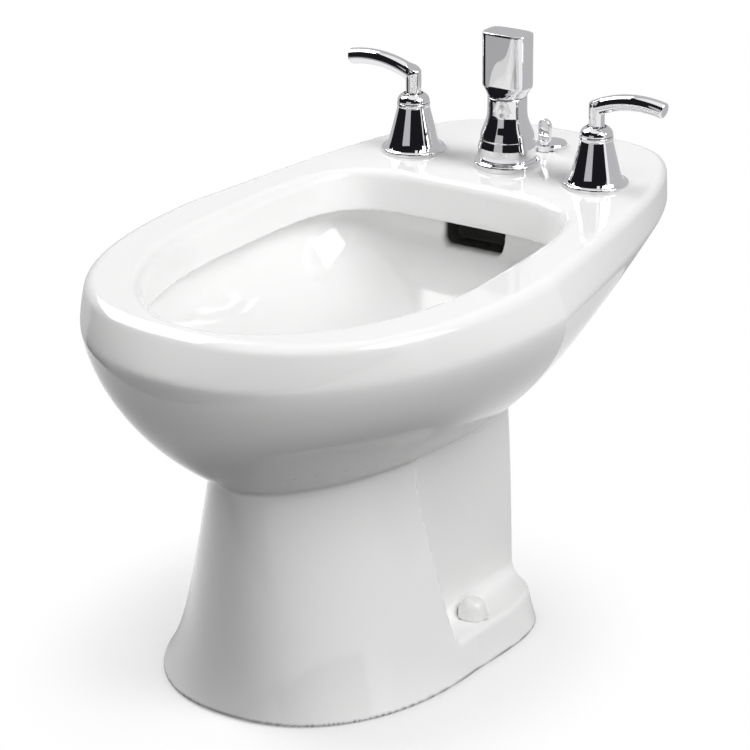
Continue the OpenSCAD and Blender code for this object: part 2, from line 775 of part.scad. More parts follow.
// The rim's tube goes behind the diverter to the left, and the spray's tube down beside the drain
rim_back_y = diverter_y + 44;
spray_side_x = -38;
spray_side_y = 196;
spray_low_z = 176;
spray_head_z = floor_z - 30;
rim_path = [[0, diverter_y + diverter_r + tube_lap, rim_inlet_z], [0, rim_back_y, rim_inlet_z],
    [rim_inlet_x, rim_back_y, rim_inlet_z], [rim_inlet_x, hollow_y, rim_inlet_z]];
spray_path = [[0, diverter_y, outlet_z - 8], [0, diverter_y, 292], [spray_side_x, spray_side_y, 262],
    [spray_side_x, spray_side_y, spray_low_z], [spray_side_x, -10, spray_low_z], [0, spray_y, spray_low_z],
    [0, spray_y, spray_head_z]];
bent_r = tube_r - 0.2;
module rim_tube() {
    color("chocolate") pipe(route(rim_path, 16), bent_r, [0, 0, 1]);
}
module rim_spud() {
    flats = 16;
    color("gold") translate([rim_inlet_x, 0, rim_inlet_z]) rotate([-90, 0, 0]) difference() {
        union() {
            translate([0, 0, hollow_y - 14]) cylinder(r = rim_inlet_r, h = 20);
            hex(flats, hollow_y, hollow_y + 10);
        }
        post(tube_r, hollow_y - 22, hollow_y + 18);
    }
}
module spray_tube() {
    color("chocolate") pipe(route(spray_path, 14), bent_r, [0.2, 0.1, 1]);
}
rose_r = 16;
rose_edge = 1.5;
rose_rise = 6;
jet_r = 0.8;
jet_ring = 3.2;
spray_shank_r = spray_hole_r - 0.5;
spray_seat_z = floor_z - 14;
module spray_head() {
    color("silver") translate([0, spray_y, 0]) difference() {
        union() {
            translate([0, 0, floor_z]) rotate_extrude() polygon(concat(
                [[0, 0], [rose_r, 0]],
                [for (a = [0:15:90]) [rose_r * cos(a), rose_edge + rose_rise * sin(a)]]));
            post(spray_shank_r, floor_z - 34, floor_z + 1);
        }
        post(tube_r, floor_z - 35, floor_z - 2);
        for (a = [0:60:300]) rotate([0, 0, a]) translate([jet_ring, 0, 0])
            post(jet_r, floor_z - 4, floor_z + 10);
    }
}
module spray_gasket() {
    color("black") translate([0, spray_y, 0])
        collar(18, spray_shank_r, spray_seat_z - gasket_t, spray_seat_z);
}
module spray_nut() {
    high = spray_seat_z - gasket_t;
    color("gold") translate([0, spray_y, 0]) nut(30, spray_shank_r, high - 10, high);
}

// Pop-up: a deck disc, the lift knob and rod, and the strap that works the pivot rod
disc_y = lift_y + 13;
disc_r = 15.5;
disc_h = 5;
guide_r = 7;
knob_socket = 12;
module popup_disc() {
    color("silver") difference() {
        union() {
            translate([lift_x, disc_y, rim_z]) rotate_extrude()
                polygon([[0, 0], [disc_r, 0], [disc_r, 3], [disc_r - 1.2, 4.6], [disc_r - 3.5, disc_h],
                         [0, disc_h]]);
            translate([lift_x, lift_y, 0]) post(guide_r, 350, rim_z + disc_h);
        }
        translate([lift_x, lift_y, 0]) post(lift_rod_r + running_fit, 340, rim_z + 2 * disc_h);
    }
}
module popup_nut() {
    color("gold") translate([lift_x, lift_y, 0]) nut(22, guide_r, deck_under - 8, deck_under);
}
module lift_knob() {
    half = 6.5;
    t = 5;
    low = 3;
    round_z = 19;
    color("silver") translate([lift_x, lift_y, rim_z + disc_h + play]) difference() {
        union() {
            translate([0, t / 2, 0]) rotate([90, 0, 0]) linear_extrude(t) {
                translate([-half, low]) square([2 * half, round_z + 1 - low]);
                translate([0, round_z]) circle(half);
            }
            post(4.5, 0, low + 1);
        }
        post(lift_rod_r, -eps, knob_socket);
    }
}
module lift_rod() {
    top = rim_z + 16;
    color("silver") translate([lift_x, lift_y, 0]) post(lift_rod_r, strap_head[2] - 8, top);
}
strap_t = 1.6;
strap_w = 12;
strap_upright = 24;
strap_below = 8;
rod_hole = lift_rod_r + 1.2;
head_low = 2;
head_high = 10;
head_t = 10;
screw_up = 4;
clevis_r = 1.8;
// The strap's foot stands upright where the rod goes through it, and the rest leans to the lift rod
module clevis_strap() {
    bend_at = strap_foot + [0, 0, strap_upright];
    color("silver") {
        translate(strap_foot) upright_plate() difference() {
            translate([-strap_w / 2, -strap_below]) square([strap_w, strap_upright + strap_below]);
            circle(rod_hole);
        }
        translate(bend_at - [strap_w / 2, 0, 0]) rotate([0, 90, 0]) cylinder(r = strap_t / 2, h = strap_w);
        strap_lean(bend_at, strap_head[1] - bend_at[1], strap_head[2] - bend_at[2]);
        strap_clamp();
    }
}
module upright_plate() {
    translate([0, strap_t / 2, 0]) rotate([90, 0, 0]) linear_extrude(strap_t) children();
}
module strap_lean(start, back, up) {
    half = strap_w / 2;
    high = norm([back, up]);
    difference() {
        translate(start) rotate([-atan2(back, up), 0, 0]) upright_plate()
            polygon([[-half, 0], [half, 0], [lift_x + half, high], [lift_x - half, high]]);
        translate([lift_x, lift_y, 0]) post(lift_rod_r + 0.6, strap_head[2] - 20, strap_head[2] + 8);
    }
}
module strap_clamp() {
    translate(strap_head) difference() {
        translate([-strap_w / 2, -head_t / 2, -head_low]) cube([strap_w, head_t, head_low + head_high]);
        post(lift_rod_r, -head_low - eps, head_high + 2);
        translate([0, -6, screw_up]) rotate([-90, 0, 0]) cylinder(r = clevis_r, h = 6);
    }
}
module clevis_screw() {
    shank = 9;
    color("silver") translate(strap_head + [0, 0, screw_up]) rotate([90, 0, 0]) {
        translate([0, 0, lift_rod_r]) cylinder(r = clevis_r, h = shank);
        translate([0, 0, lift_rod_r + shank - 2]) cylinder(r = 5, h = 4);
    }
}
// A clip of bent spring steel, with a leg before and a leg behind the strap
module spring_clip() {
    leg = 4;
    t = 0.8;
    half_w = 6.5;
    low = 9;
    high = 7;
    color("silver") translate(strap_foot) difference() {
        translate([-half_w, 0, 0]) rotate([90, 0, 90]) linear_extrude(2 * half_w) difference() {
            translate([-leg, -low - t]) square([2 * leg, low + high]);
            translate([t - leg, -low]) square([2 * (leg - t), low + high + lap]);
        }
        translate([0, -20, 0]) rotate([-90, 0, 0]) cylinder(r = rod_hole, h = 40);
    }
}
module at_pivot() {
    translate([0, pivot_y, pivot_z]) rotate([-rod_tilt, 0, 0]) children();
}
rod_r = 2.2;
module pivot_rod() {
    before = stopper_arm + 2;
    behind = strap_arm + 14;
    color("silver") at_pivot() translate([0, -before, 0]) rotate([-90, 0, 0])
        cylinder(r = rod_r, h = before + behind);
}
ball_r = 5.5;
module pivot_ball() {
    color("white") at_pivot() difference() {
        sphere(ball_r);
        translate([0, -10, 0]) rotate([-90, 0, 0]) cylinder(r = rod_r, h = 20);
    }
}
body_r = 20;
body_in_r = 16.5;
drain_body_z = 142;
arm_r = 9;
overflow_port_r = 4;
drain_gasket_r = 30;
drain_gasket_t = 5;
drain_locknut_flats = 50;
flange_edge = 2;
flange_dish_r = 18;
module pivot_nut() {
    color("gainsboro") translate([0, pivot_y, pivot_z]) rotate([-90, 0, 0]) difference() {
        hex(22, 3, 11);
        translate([0, 0, -eps]) cylinder(r = arm_r, h = 7);
        cylinder(r = 4.6, h = 20);
    }
}
module drain_flange() {
    color("silver") translate([0, drain_y, 0]) difference() {
        union() {
            translate([0, 0, floor_z]) rotate_extrude() polygon([
                [0, -1], [drain_flange_r, -1], [drain_flange_r, 0.8], [drain_flange_r - flange_edge, 1.6],
                [flange_dish_r, 0.4], [0, 0.4]]);
            post(body_in_r, boss_z + 20, floor_z);
        }
        post(body_in_r - 2, boss_z + 20 - eps, floor_z + reach);
    }
}
module drain_body() {
    color("silver") translate([0, drain_y, 0]) difference() {
        union() {
            post(body_r, drain_body_z, floor_z - 4);
            translate([0, 0, pivot_z]) rotate([-90, 0, 0]) cylinder(r = arm_r, h = stopper_arm + 6);
        }
        post(body_in_r, drain_body_z - eps, floor_z);
        for (a = [30:60:330]) rotate([0, 0, a]) translate([0, 0, drain_port_z]) rotate([0, 90, 0])
            cylinder(r = overflow_port_r, h = 30);
        translate([0, 0, pivot_z]) rotate([-90, 0, 0]) cylinder(r = ball_r + play, h = stopper_arm + 10);
    }
}
module drain_gasket() {
    color("black") translate([0, drain_y, 0]) collar(drain_gasket_r, body_r, boss_z - drain_gasket_t, boss_z);
}
drain_washer_z = boss_z - drain_gasket_t - washer_t;
module drain_washer() {
    color("gold") translate([0, drain_y, 0])
        collar(drain_gasket_r, body_r, drain_washer_z, boss_z - drain_gasket_t);
}
module drain_locknut() {
    color("gold") translate([0, drain_y, 0])
        nut(drain_locknut_flats, body_r, drain_washer_z - locknut_t, drain_washer_z);
}
module tailpiece() {
    seat_z = drain_body_z;
    seat_h = 13;
    pipe_t = 1.4;
    color("silver") translate([0, drain_y, 0]) difference() {
        union() {
            post(tailpiece_r, tailpiece_z, seat_z - relief);
            post(tailpiece_r - 0.5, tailpiece_z, seat_z + 1);
            post(body_in_r - 0.1, seat_z, seat_z + seat_h);
        }
        post(tailpiece_r - pipe_t, tailpiece_z - eps, seat_z + 20);
    }
}
stopper_open = floor_z + 1 + stopper_travel;
stopper_rod_r = 3.5;
eye_z = pivot_z + stopper_arm * sin(rod_tilt);
eye_r = 6.5;
eye_hole_r = 3.4;
eye_t = 6;
module stopper() {
    color("silver") translate([0, drain_y, 0]) {
        difference() {
            union() {
                post(stopper_rod_r, eye_z, stopper_open + 1);
                translate([0, eye_t / 2, eye_z]) rotate([90, 0, 0]) cylinder(r = eye_r, h = eye_t);
            }
            translate([0, 10, eye_z]) rotate([90, 0, 0]) cylinder(r = eye_hole_r, h = 20);
        }
        translate([0, 0, stopper_open]) rotate_extrude()
            polygon([[0, 0], [13, 0], [17, 1], [17, 2], [12, 4], [0, 5]]);
    }
}
module stopper_seal() {
    color("black") translate([0, drain_y, 0]) collar(13.5, stopper_rod_r, stopper_open - 3, stopper_open);
}

china_body();
bolt_caps();
cap_bases();
left_bell();
right_bell();
left_lever();
right_lever();
left_spindle();
right_spindle();
left_set_screw();
right_set_screw();
left_valve_body();
right_valve_body();
left_bonnet();
right_bonnet();
deck_gaskets();
deck_washers();
deck_locknuts();
centre_bell();
diverter_knob();
diverter_stem();
diverter_body();
breaker_bonnet();
float_ring();
hot_tube();
cold_tube();
supply_nuts();
rim_tube();
rim_spud();
spray_tube();
spray_head();
spray_gasket();
spray_nut();
popup_disc();
popup_nut();
lift_knob();
lift_rod();
clevis_strap();
clevis_screw();
spring_clip();
pivot_rod();
pivot_ball();
pivot_nut();
drain_flange();
stopper();
stopper_seal();
drain_body();
drain_gasket();
drain_washer();
drain_locknut();
tailpiece();
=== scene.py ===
"""Bidet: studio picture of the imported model, in the model's own frame."""
import json
import math

import bpy
import numpy as np
from mathutils import Matrix, Vector


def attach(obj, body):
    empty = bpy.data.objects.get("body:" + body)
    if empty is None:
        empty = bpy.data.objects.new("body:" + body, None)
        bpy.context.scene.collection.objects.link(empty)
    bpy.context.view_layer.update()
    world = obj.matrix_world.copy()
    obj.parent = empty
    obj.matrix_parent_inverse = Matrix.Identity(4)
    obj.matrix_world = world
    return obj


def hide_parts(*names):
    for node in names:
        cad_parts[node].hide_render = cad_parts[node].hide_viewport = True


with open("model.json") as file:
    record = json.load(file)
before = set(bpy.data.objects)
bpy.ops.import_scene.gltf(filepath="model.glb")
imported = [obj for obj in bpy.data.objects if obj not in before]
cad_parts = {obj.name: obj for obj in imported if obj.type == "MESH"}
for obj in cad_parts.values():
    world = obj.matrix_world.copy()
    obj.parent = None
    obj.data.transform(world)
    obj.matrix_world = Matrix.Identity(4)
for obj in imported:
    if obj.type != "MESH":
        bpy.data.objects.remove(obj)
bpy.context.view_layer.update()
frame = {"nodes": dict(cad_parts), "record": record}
MM = 0.001


# The image that the camera was fitted in, and the camera, fitted to the outlines of foot, rim and handles
IMAGE_PX = 750
IMAGE_CENTRE = (394.2, 386.16)
FOCAL_PX = 3163.06
CAMERA_TURN, CAMERA_RISE, CAMERA_ROLL = 33.13, 22.18, -0.35
CAMERA_AIM = (0.0, 0.009, 0.220)
CAMERA_DISTANCE = 2.93791
SENSOR_MM = 36.0
CLIP_END = 50


def make_camera():
    az, el, roll = math.radians(CAMERA_TURN), math.radians(CAMERA_RISE), math.radians(CAMERA_ROLL)
    back = Vector((math.sin(az) * math.cos(el), -math.cos(az) * math.cos(el), math.sin(el)))
    right = Vector((math.cos(az), math.sin(az), 0.0))
    up = back.cross(right)
    x = right * math.cos(roll) + up * math.sin(roll)
    y = -right * math.sin(roll) + up * math.cos(roll)
    place = Vector(CAMERA_AIM) + back * CAMERA_DISTANCE
    data = bpy.data.cameras.new("camera")
    data.sensor_width = SENSOR_MM
    data.lens = FOCAL_PX / IMAGE_PX * SENSOR_MM
    data.shift_x = (IMAGE_PX / 2 - IMAGE_CENTRE[0]) / IMAGE_PX
    data.shift_y = (IMAGE_CENTRE[1] - IMAGE_PX / 2) / IMAGE_PX
    data.clip_end = CLIP_END
    cam = bpy.data.objects.new("camera", data)
    cam.matrix_world = Matrix.Translation(place) @ Matrix((x, y, back)).transposed().to_4x4()
    bpy.context.scene.collection.objects.link(cam)
    bpy.context.scene.camera = cam


# Smooth solids are functions of points in millimetres: about the distance to the surface, negative inside

# The china's sizes, in millimetres. They are the source's own, but for the lip and the rim band: there the
# photograph's lip is followed more closely.
# Heights of the rim's top, the chine below its band, the waist and the bowl's floor
RIM_Z, CHINE_Z, WAIST_Z, FLOOR_Z = 381.0, 346.0, 208.4, 238.0
# Roundings of the rim's outer edge, of the mouth's edge and of the lip
RIM_R, MOUTH_R, LIP_R = 8.0, 10.5, 3.3
# The lip hangs down to SKIRT_Z, is SKIRT_T thick, and the groove behind it rises GROOVE_H above its edge
SKIRT_Z, SKIRT_T, GROOVE_H = 341.0, 7.0, 11.0
# The deck's walls, its underside, and the top of the pedestal's hollow
WALL, DECK_UNDER, ROOF_Z = 12.0, RIM_Z - 14.0, FLOOR_Z - 12.0
# The deck's hollow ends at DECK_WALL_Y in front, and the open back of the bowl's shell begins at REAR_Y
DECK_WALL_Y, REAR_Y = 172.0, 185.0
# The side panels lie at PANEL_X from the middle and end LEDGE_Z above the floor, at the ledge for the bolt
PANEL_X, LEDGE_Z = 95.0, 31.0
BOLT_X, BOLT_Y = 113.0, -34.0
DRAIN_Y, SPRAY_Y = 36.0, -36.0
# The overflow slot's half width, and how far its top and bottom lie below the lip's edge
SLOT_HALF, SLOT_TOP, SLOT_LOW = 33, 8, 29
# The block that its channel runs in: middle height, and half sizes in x, y and z
DUCT_Z, DUCT_HALF = 310, (42, 12, 30)
# The arch in the pedestal's back
ARCH_HALF, ARCH_TOP, ARCH_R = 62, 200, 30
# The power of the curve that the rim band follows from chine to rim
BAND_POW = 1.12
# Places of the faucet's pieces on the deck
HANDLE_X, HANDLE_Y, DIVERTER_Y, LIFT_X, LIFT_Y = 101.6, 202.0, 209.0, 8.0, 267.0
# An outline is half width, front y, widest y, back y, front power, back power, back taper
FOOT = np.array([145.1, -270.5, -78, 74.5, 2.27, 4.1, -0.08])
WAIST = np.array([104.6, -244.2, -10, 80.6, 1.93, 3.9, 0.0])
CHINE = np.array([211.0, -345.4, -39, 346, 2.09, 4.37, 0.315])
RIM = np.array([197, -316.3, -39, 338.9, 2.55, 4.45, 0.248])
MOUTH_TOP = np.array([146, -296.4, -90, 133, 1.95, 4.7, 0.03])
LIP = np.array([143, -293.4, -59, 130, 2.21, 4.8, 0.03])
BOWL = np.array([161, -308.4, -59, 151, 2.2, 4.6, 0.03])
FLOOR = np.array([46, -76, 4, 60, 2.0, 2.0, 0.0])
FOOT_IN = np.array([83, -255.5, -78, 62.5, 2.2, 3.5, 0.0])
WAIST_IN = np.array([83, -231.2, -10, 70.6, 2.0, 3.3, 0.0])


def mix(a, b, k):
    return a + (b - a) * k


def ease(k):
    k = min(1.0, max(0.0, k))
    return k * k * (3 - 2 * k)


def inset(o, d):
    """An outline moved inwards by d, or outwards where d is negative."""
    return o + np.array([-d, d, 0, -d, 0, 0, 0])


def flare(z):
    """How far an outline has widened from the waist, 0, to the floor, 1."""
    u = 1 - z / WAIST_Z
    return mix(max(u, 0) ** 7.1, u, 0.74)


def skin_at(z):
    """The outer skin's outline: pedestal, bowl's underside, then the rim band."""
    if z <= WAIST_Z:
        bead = 1.2 * max(0.0, 1 - (WAIST_Z - z) / 6.0)
        return inset(mix(WAIST, FOOT, flare(z)), -bead)
    if z <= CHINE_Z:
        u = (z - WAIST_Z) / (CHINE_Z - WAIST_Z)
        side, front, back = 1 - (1 - u) ** 1.6, 1 - (1 - u) ** 2.2, 1 - (1 - u) ** 0.88
        sag = math.sin(math.pi * u)
        shares = (side, front, u, back, u, u, u)
        o = np.array([mix(low, high, k) for low, high, k in zip(WAIST, CHINE, shares)])
        return o + np.array([0, 0, 0, 0, 0, -0.9 * sag, 0.075 * sag])
    k = (z - CHINE_Z) / (RIM_Z - CHINE_Z)
    return mix(CHINE, RIM, k ** BAND_POW)


class Table:
    """Outlines at many heights, looked up at any height between them. With soft, they are smoothed over z."""

    def __init__(self, heights, outlines, soft=0.0, reach=12):
        self.z = np.array(heights, float)
        self.o = np.array(outlines, float)
        if soft:
            step = self.z[1] - self.z[0]
            k = np.arange(-reach, reach + 1) * step
            w = np.exp(-0.5 * (k / soft) ** 2)
            w /= w.sum()
            pad = np.pad(self.o, ((reach, reach), (0, 0)), mode="reflect", reflect_type="odd")
            self.o = np.stack([np.convolve(pad[:, i], w, "valid") for i in range(7)], 1)

    def at(self, z):
        return [np.interp(z, self.z, self.o[:, i]) for i in range(7)]


def field(x, y, o):
    """About the distance outside an outline, negative inside."""
    w, yf, ym, yb, nf, nb, taper = o
    front = y < ym
    e = np.where(front, nf, nb)
    half = np.where(front, ym - yf, yb - ym)
    v = np.abs(y - ym) / half
    k = np.where(front, 0.0, np.minimum(v, 1.6))
    wide = w * (1 - taper * k)
    ax = np.abs(x)
    u = ax / wide
    ue, ve = u ** (e - 1), v ** (e - 1)
    s = np.maximum(u * ue + v * ve, 1e-5)
    rho = s ** (1 / e)
    g = rho / s
    dx = g * ue / wide
    dy = g * (ve / half + np.where(front, 0.0, ue * ax * w * taper / (half * wide * wide)))
    return (rho - 1) / np.maximum(np.hypot(dx, dy), 1e-4)


def lofted(x, y, z, table, step=0.6):
    """About the distance from a stack of outlines, corrected for how much its wall leans."""
    a = field(x, y, table.at(z))
    b = field(x, y, table.at(z + step))
    return a / np.sqrt(1 + ((b - a) / step) ** 2)


def cut(a, b, r):
    """Common part of two solids, with the edge between them rounded."""
    return np.minimum(np.maximum(a, b), -r) + np.hypot(np.maximum(a + r, 0), np.maximum(b + r, 0))


def join(a, b, r):
    """Both solids together, with the corner between them filled."""
    return -cut(-a, -b, r)


def skin_table():
    """The skin, smoothed, from a little below the floor to a little above the rim."""
    z = np.arange(-10, 392.01, 0.5)
    return Table(z, [skin_at(v) for v in z], 2.2)


def mouth_table():
    """The wall from the rolled edge down to the lip."""
    rows = [(SKIRT_Z - 20, LIP), (SKIRT_Z + 4, LIP)]
    for k in np.linspace(0.1, 1, 10):
        rows.append((SKIRT_Z + 4 + (RIM_Z - MOUTH_R - SKIRT_Z - 4) * k, mix(LIP, MOUTH_TOP, ease(k))))
    rows.append((RIM_Z + 8, MOUTH_TOP))
    return Table(*zip(*rows))


def bowl_table():
    """The bowl's outlines from its floor up to the lip."""
    rows = []
    for a in np.radians(np.linspace(90, 0, 240)):
        c = max(math.cos(a), 0.0)
        side, front, back = c ** 1.3, c ** 0.75, c ** 2
        shares = (side, front, side, back, side, side)
        o = [mix(low, high, k) for low, high, k in zip(FLOOR, BOWL, shares)]
        rows.append((mix(SKIRT_Z, FLOOR_Z, math.sin(a)), np.array(o + [0])))
    return Table(*zip(*rows))


def hollow_table():
    """The inside of the pedestal."""
    z = np.arange(-10, 240, 2.0)
    return Table(z, [mix(WAIST_IN, FOOT_IN, flare(v)) if v <= WAIST_Z else WAIST_IN for v in z])


def deck_table():
    """The inside of the deck: the skin moved inwards, with the slope of its underside eased in."""
    z = np.arange(270, 376, 2.0)
    return Table(z, [inset(skin_at(v - WALL * (1 - ease((v - 300) / 40))), WALL + 2) for v in z])


SKIN, MOUTH, BOWLS, HOLLOW, DECK = skin_table(), mouth_table(), bowl_table(), hollow_table(), deck_table()
LIP_OUT = inset(LIP, -SKIRT_T)


def post(x, y, z, cx, cy, r, low, high):
    """An upright cylinder."""
    return np.maximum(np.hypot(x - cx, y - cy) - r, np.maximum(low - z, z - high))


def mouth_air(x, y, z):
    """The opening inside the rim, down past the lip."""
    return np.maximum(lofted(x, y, z, MOUTH), SKIRT_Z - 15 - z)


def bowl_air(x, y, z):
    """The bowl below the lip, with the groove behind it."""
    skirt = cut(field(x, y, LIP_OUT), SKIRT_Z - z, LIP_R)
    bowl = cut(lofted(x, y, z, BOWLS), z - SKIRT_Z - GROOVE_H, 5)
    bowl = np.maximum(cut(bowl, -skirt, 1.5), FLOOR_Z - z)
    return join(mouth_air(x, y, z), bowl, LIP_R)


def panel_air(x, y, z):
    """What is cut away at each side of the pedestal, above the ledge that the floor bolt goes through."""
    top = WAIST_Z + 6
    edge = np.interp(z, [LEDGE_Z, top - 30], [-90.0, -106.0])
    a = cut(PANEL_X - np.abs(x), LEDGE_Z - z, 12)
    a = cut(a, edge - y, 7)
    return cut(a, z - top, 10)


def rear_air(x, y, z):
    """The opening behind the deck's hollow, wider at its top."""
    low, top = 308, 340
    half = np.interp(z, [low, top], [118.0, 140.0])
    a = cut(np.abs(x) - half, z - top, 6)
    return np.maximum(np.maximum(a, 150 - z), REAR_Y - y)


def deck_air(x, y, z):
    """The hollow under the deck, which holds the valves."""
    a = cut(lofted(x, y, z, DECK), z - DECK_UNDER, 6)
    return np.maximum(cut(a, DECK_WALL_Y - y, 6), 286 - z)


def duct_wall(x, y, z):
    """The block of china between bowl and deck hollow that the overflow channel runs in."""
    hx, hy, hz = DUCT_HALF
    return np.maximum(np.maximum(np.abs(x) - hx, np.abs(y - DECK_WALL_Y) - hy), np.abs(z - DUCT_Z) - hz)


def slot_air(x, y, z):
    """The overflow's slot, below the lip."""
    a = cut(np.abs(x) - SLOT_HALF, SKIRT_Z - SLOT_LOW - z, 7)
    a = np.maximum(a, z - SKIRT_Z + SLOT_TOP)
    return np.maximum(a, np.maximum(126 - y, y - 176))


def arch_air(x, y, z):
    """The arch in the pedestal's back."""
    a = cut(np.abs(x) - ARCH_HALF, z - ARCH_TOP, ARCH_R)
    return np.maximum(a, np.maximum(48 - y, y - 120))


def pedestal_air(x, y, z):
    """The hollow inside the pedestal, up to the bowl's floor."""
    return cut(lofted(x, y, z, HOLLOW), z - ROOF_Z, 8)


def drain_boss(x, y, z):
    """The thicker china under the drain."""
    return post(x, y, z, 0, DRAIN_Y, 36, FLOOR_Z - 36, ROOF_Z + 4)


# Round holes: centre, radius, lowest and highest z, and the rounding of their edges
HOLES = [
    (0, DRAIN_Y, 22, FLOOR_Z - 40, FLOOR_Z + 4, 1.0),  # drain
    (0, DRAIN_Y, 31.4, FLOOR_Z - 1, FLOOR_Z + 8, 1.5),  # the drain flange's seat
    (0, SPRAY_Y, 11, FLOOR_Z - 20, FLOOR_Z + 5, 1.0),  # spray
    (-HANDLE_X, HANDLE_Y, 16, RIM_Z - 31, RIM_Z + 9, 1.0),  # valves
    (HANDLE_X, HANDLE_Y, 16, RIM_Z - 31, RIM_Z + 9, 1.0),
    (0, DIVERTER_Y, 16, RIM_Z - 31, RIM_Z + 9, 1.0),
    (LIFT_X, LIFT_Y, 8, RIM_Z - 31, RIM_Z + 9, 1.0),  # lift rod
    (-BOLT_X, BOLT_Y, 6.5, -4, LEDGE_Z + 4, 1.0),  # floor bolts
    (BOLT_X, BOLT_Y, 6.5, -4, LEDGE_Z + 4, 1.0),
    (-BOLT_X, BOLT_Y, 13.9, LEDGE_Z, LEDGE_Z + 12, 1.5),  # room for their caps
    (BOLT_X, BOLT_Y, 13.9, LEDGE_Z, LEDGE_Z + 12, 1.5),
]


def china_solid(p):
    x, y, z = p[:, 0], p[:, 1], p[:, 2]
    f = cut(cut(lofted(x, y, z, SKIN), z - RIM_Z, RIM_R), -z, 4)
    ax = np.abs(x)

    def change(where, shape, how, r, *sizes):
        """Cuts a shape out or joins it on. It is worked out only at the points that it can reach."""
        i = np.nonzero(where)[0]
        if len(i):
            s = shape(x[i], y[i], z[i], *sizes)
            f[i] = cut(f[i], -s, r) if how == "cut" else join(f[i], s, r)

    change(z > SKIRT_Z, mouth_air, "cut", MOUTH_R)
    change((z > FLOOR_Z - 8) & (z < SKIRT_Z + 20), bowl_air, "cut", 2.5)
    change((z < 235) & (y > -130) & (ax > 80), panel_air, "cut", 4)
    change((z < 240) & (ax < 100) & (y < 90), pedestal_air, "cut", 3)
    change((z > 185) & (z < 240) & (np.hypot(x, y - DRAIN_Y) < 60), drain_boss, "join", 5)
    change((y > 155) & (z > 270), deck_air, "cut", 3)
    change((y > 145) & (y < 200) & (ax < 60) & (z > 265), duct_wall, "join", 3)
    change((y > 110) & (y < 190) & (ax < 50) & (z > 295), slot_air, "cut", 2.5)
    change((y > 30) & (y < 130) & (ax < 80) & (z < 220), arch_air, "cut", 3)
    change((y > 170) & (z > 130), rear_air, "cut", 3.5)
    for cx, cy, r, low, high, edge in HOLES:
        near = np.hypot(x - cx, y - cy) < r + 12
        change(near, post, "cut", edge, cx, cy, r, low, high)
    return f


# Half of a unit cell's diagonal, and the slack for shapes whose distance is only about right
HALF_DIAGONAL, SLACK = 0.87, 1.45
# A unit cell's corners
CORNERS = np.stack(np.meshgrid([0, 1], [0, 1], [0, 1], indexing="ij"), -1).reshape(-1, 3)


def near_points(shape, low, high, sizes):
    """Cells of the last size that may hold the surface, as lowest corners in units of that size."""
    s = sizes[0]
    axes = [np.arange(math.floor(a / s), math.ceil(b / s)) for a, b in zip(low, high)]
    cells = np.stack(np.meshgrid(*axes, indexing="ij"), -1).reshape(-1, 3)
    for finer in sizes[1:] + [None]:
        d = np.abs(shape((cells + 0.5) * s))
        cells = cells[d < s * HALF_DIAGONAL * SLACK]
        if finer is None:
            return cells, s
        n = round(s / finer)
        sub = np.stack(np.meshgrid(*[np.arange(n)] * 3, indexing="ij"), -1).reshape(-1, 3)
        cells = (cells[:, None] * n + sub[None]).reshape(-1, 3)
        s = finer


def slope(shape, p, step=0.03):
    """How fast a solid's distance grows along x, y and z."""
    g = np.empty_like(p)
    for i in range(3):
        d = np.zeros(3)
        d[i] = step
        g[:, i] = (shape(p + d) - shape(p - d)) / (2 * step)
    return g


def crossings(v):
    """The mean place in each cell at which the surface crosses its edges, from its corners' values."""
    spots, total = np.zeros((len(v), 3)), np.zeros(len(v))
    for a in range(8):
        for b in range(a + 1, 8):
            if np.abs(CORNERS[a] - CORNERS[b]).sum() != 1:
                continue  # not an edge of the cell
            hit = (v[:, a] < 0) != (v[:, b] < 0)
            t = v[hit, a] / (v[hit, a] - v[hit, b])
            spots[hit] += CORNERS[a] + t[:, None] * (CORNERS[b] - CORNERS[a])
            total[hit] += 1
    return spots / total[:, None]


def on_surface(shape, verts, s):
    """Vertices moved onto the surface by three steps, and their normals. s is the size of a cell."""
    for _ in range(3):
        g = slope(shape, verts)
        square = np.maximum((g * g).sum(1), 0.05)
        move = -shape(verts)[:, None] * g / square[:, None]
        size = np.linalg.norm(move, axis=1)
        verts += move * np.minimum(1, 0.6 * s / np.maximum(size, 1e-9))[:, None]
    g = slope(shape, verts)
    return verts, g / np.maximum(np.linalg.norm(g, axis=1), 1e-9)[:, None]


def nets(shape, low, high, sizes):
    """Surface nets of an implicit solid: a vertex in each cell that the surface passes through, and a quad of
    four such vertices round each grid edge that it crosses. Gives vertices, quads and normals."""
    cells, s = near_points(shape, low, high, sizes)
    base = cells.min(0) - 1
    cells = cells - base
    dims = cells.max(0) + 3

    def flat(c):
        return (c[..., 0] * dims[1] + c[..., 1]) * dims[2] + c[..., 2]

    # The solid's value at each grid point, once
    ids = flat(cells[:, None] + CORNERS[None])
    points, back = np.unique(ids, return_inverse=True)
    values = shape((np.stack(np.unravel_index(points, dims), -1) + base) * s)
    v = values[back.reshape(ids.shape)]
    live = (v.min(1) < 0) & (v.max(1) >= 0)
    cells, v = cells[live], v[live]
    verts = (cells + base + crossings(v)) * s

    index = np.full(int(np.prod(dims)), -1, np.int64)
    index[flat(cells)] = np.arange(len(cells))
    full = np.full(int(np.prod(dims)), np.nan, np.float32)
    full[points] = values
    quads = []
    for axis in range(3):
        unit, uj, uk = np.eye(3, dtype=int)[[axis, *(d for d in range(3) if d != axis)]]
        start, end = full[flat(cells)], full[flat(cells + unit)]
        hit = (start < 0) != (end < 0)
        c = cells[hit]
        q = np.stack([index[flat(c)], index[flat(c - uj)], index[flat(c - uj - uk)], index[flat(c - uk)]], 1)
        ok = (q >= 0).all(1)
        q = q[ok]
        turn = (start[hit][ok] < 0) ^ (axis == 1)
        q[~turn] = q[~turn][:, ::-1]
        quads.append(q)
    verts, normals = on_surface(shape, verts, s)
    return verts, np.concatenate(quads), normals


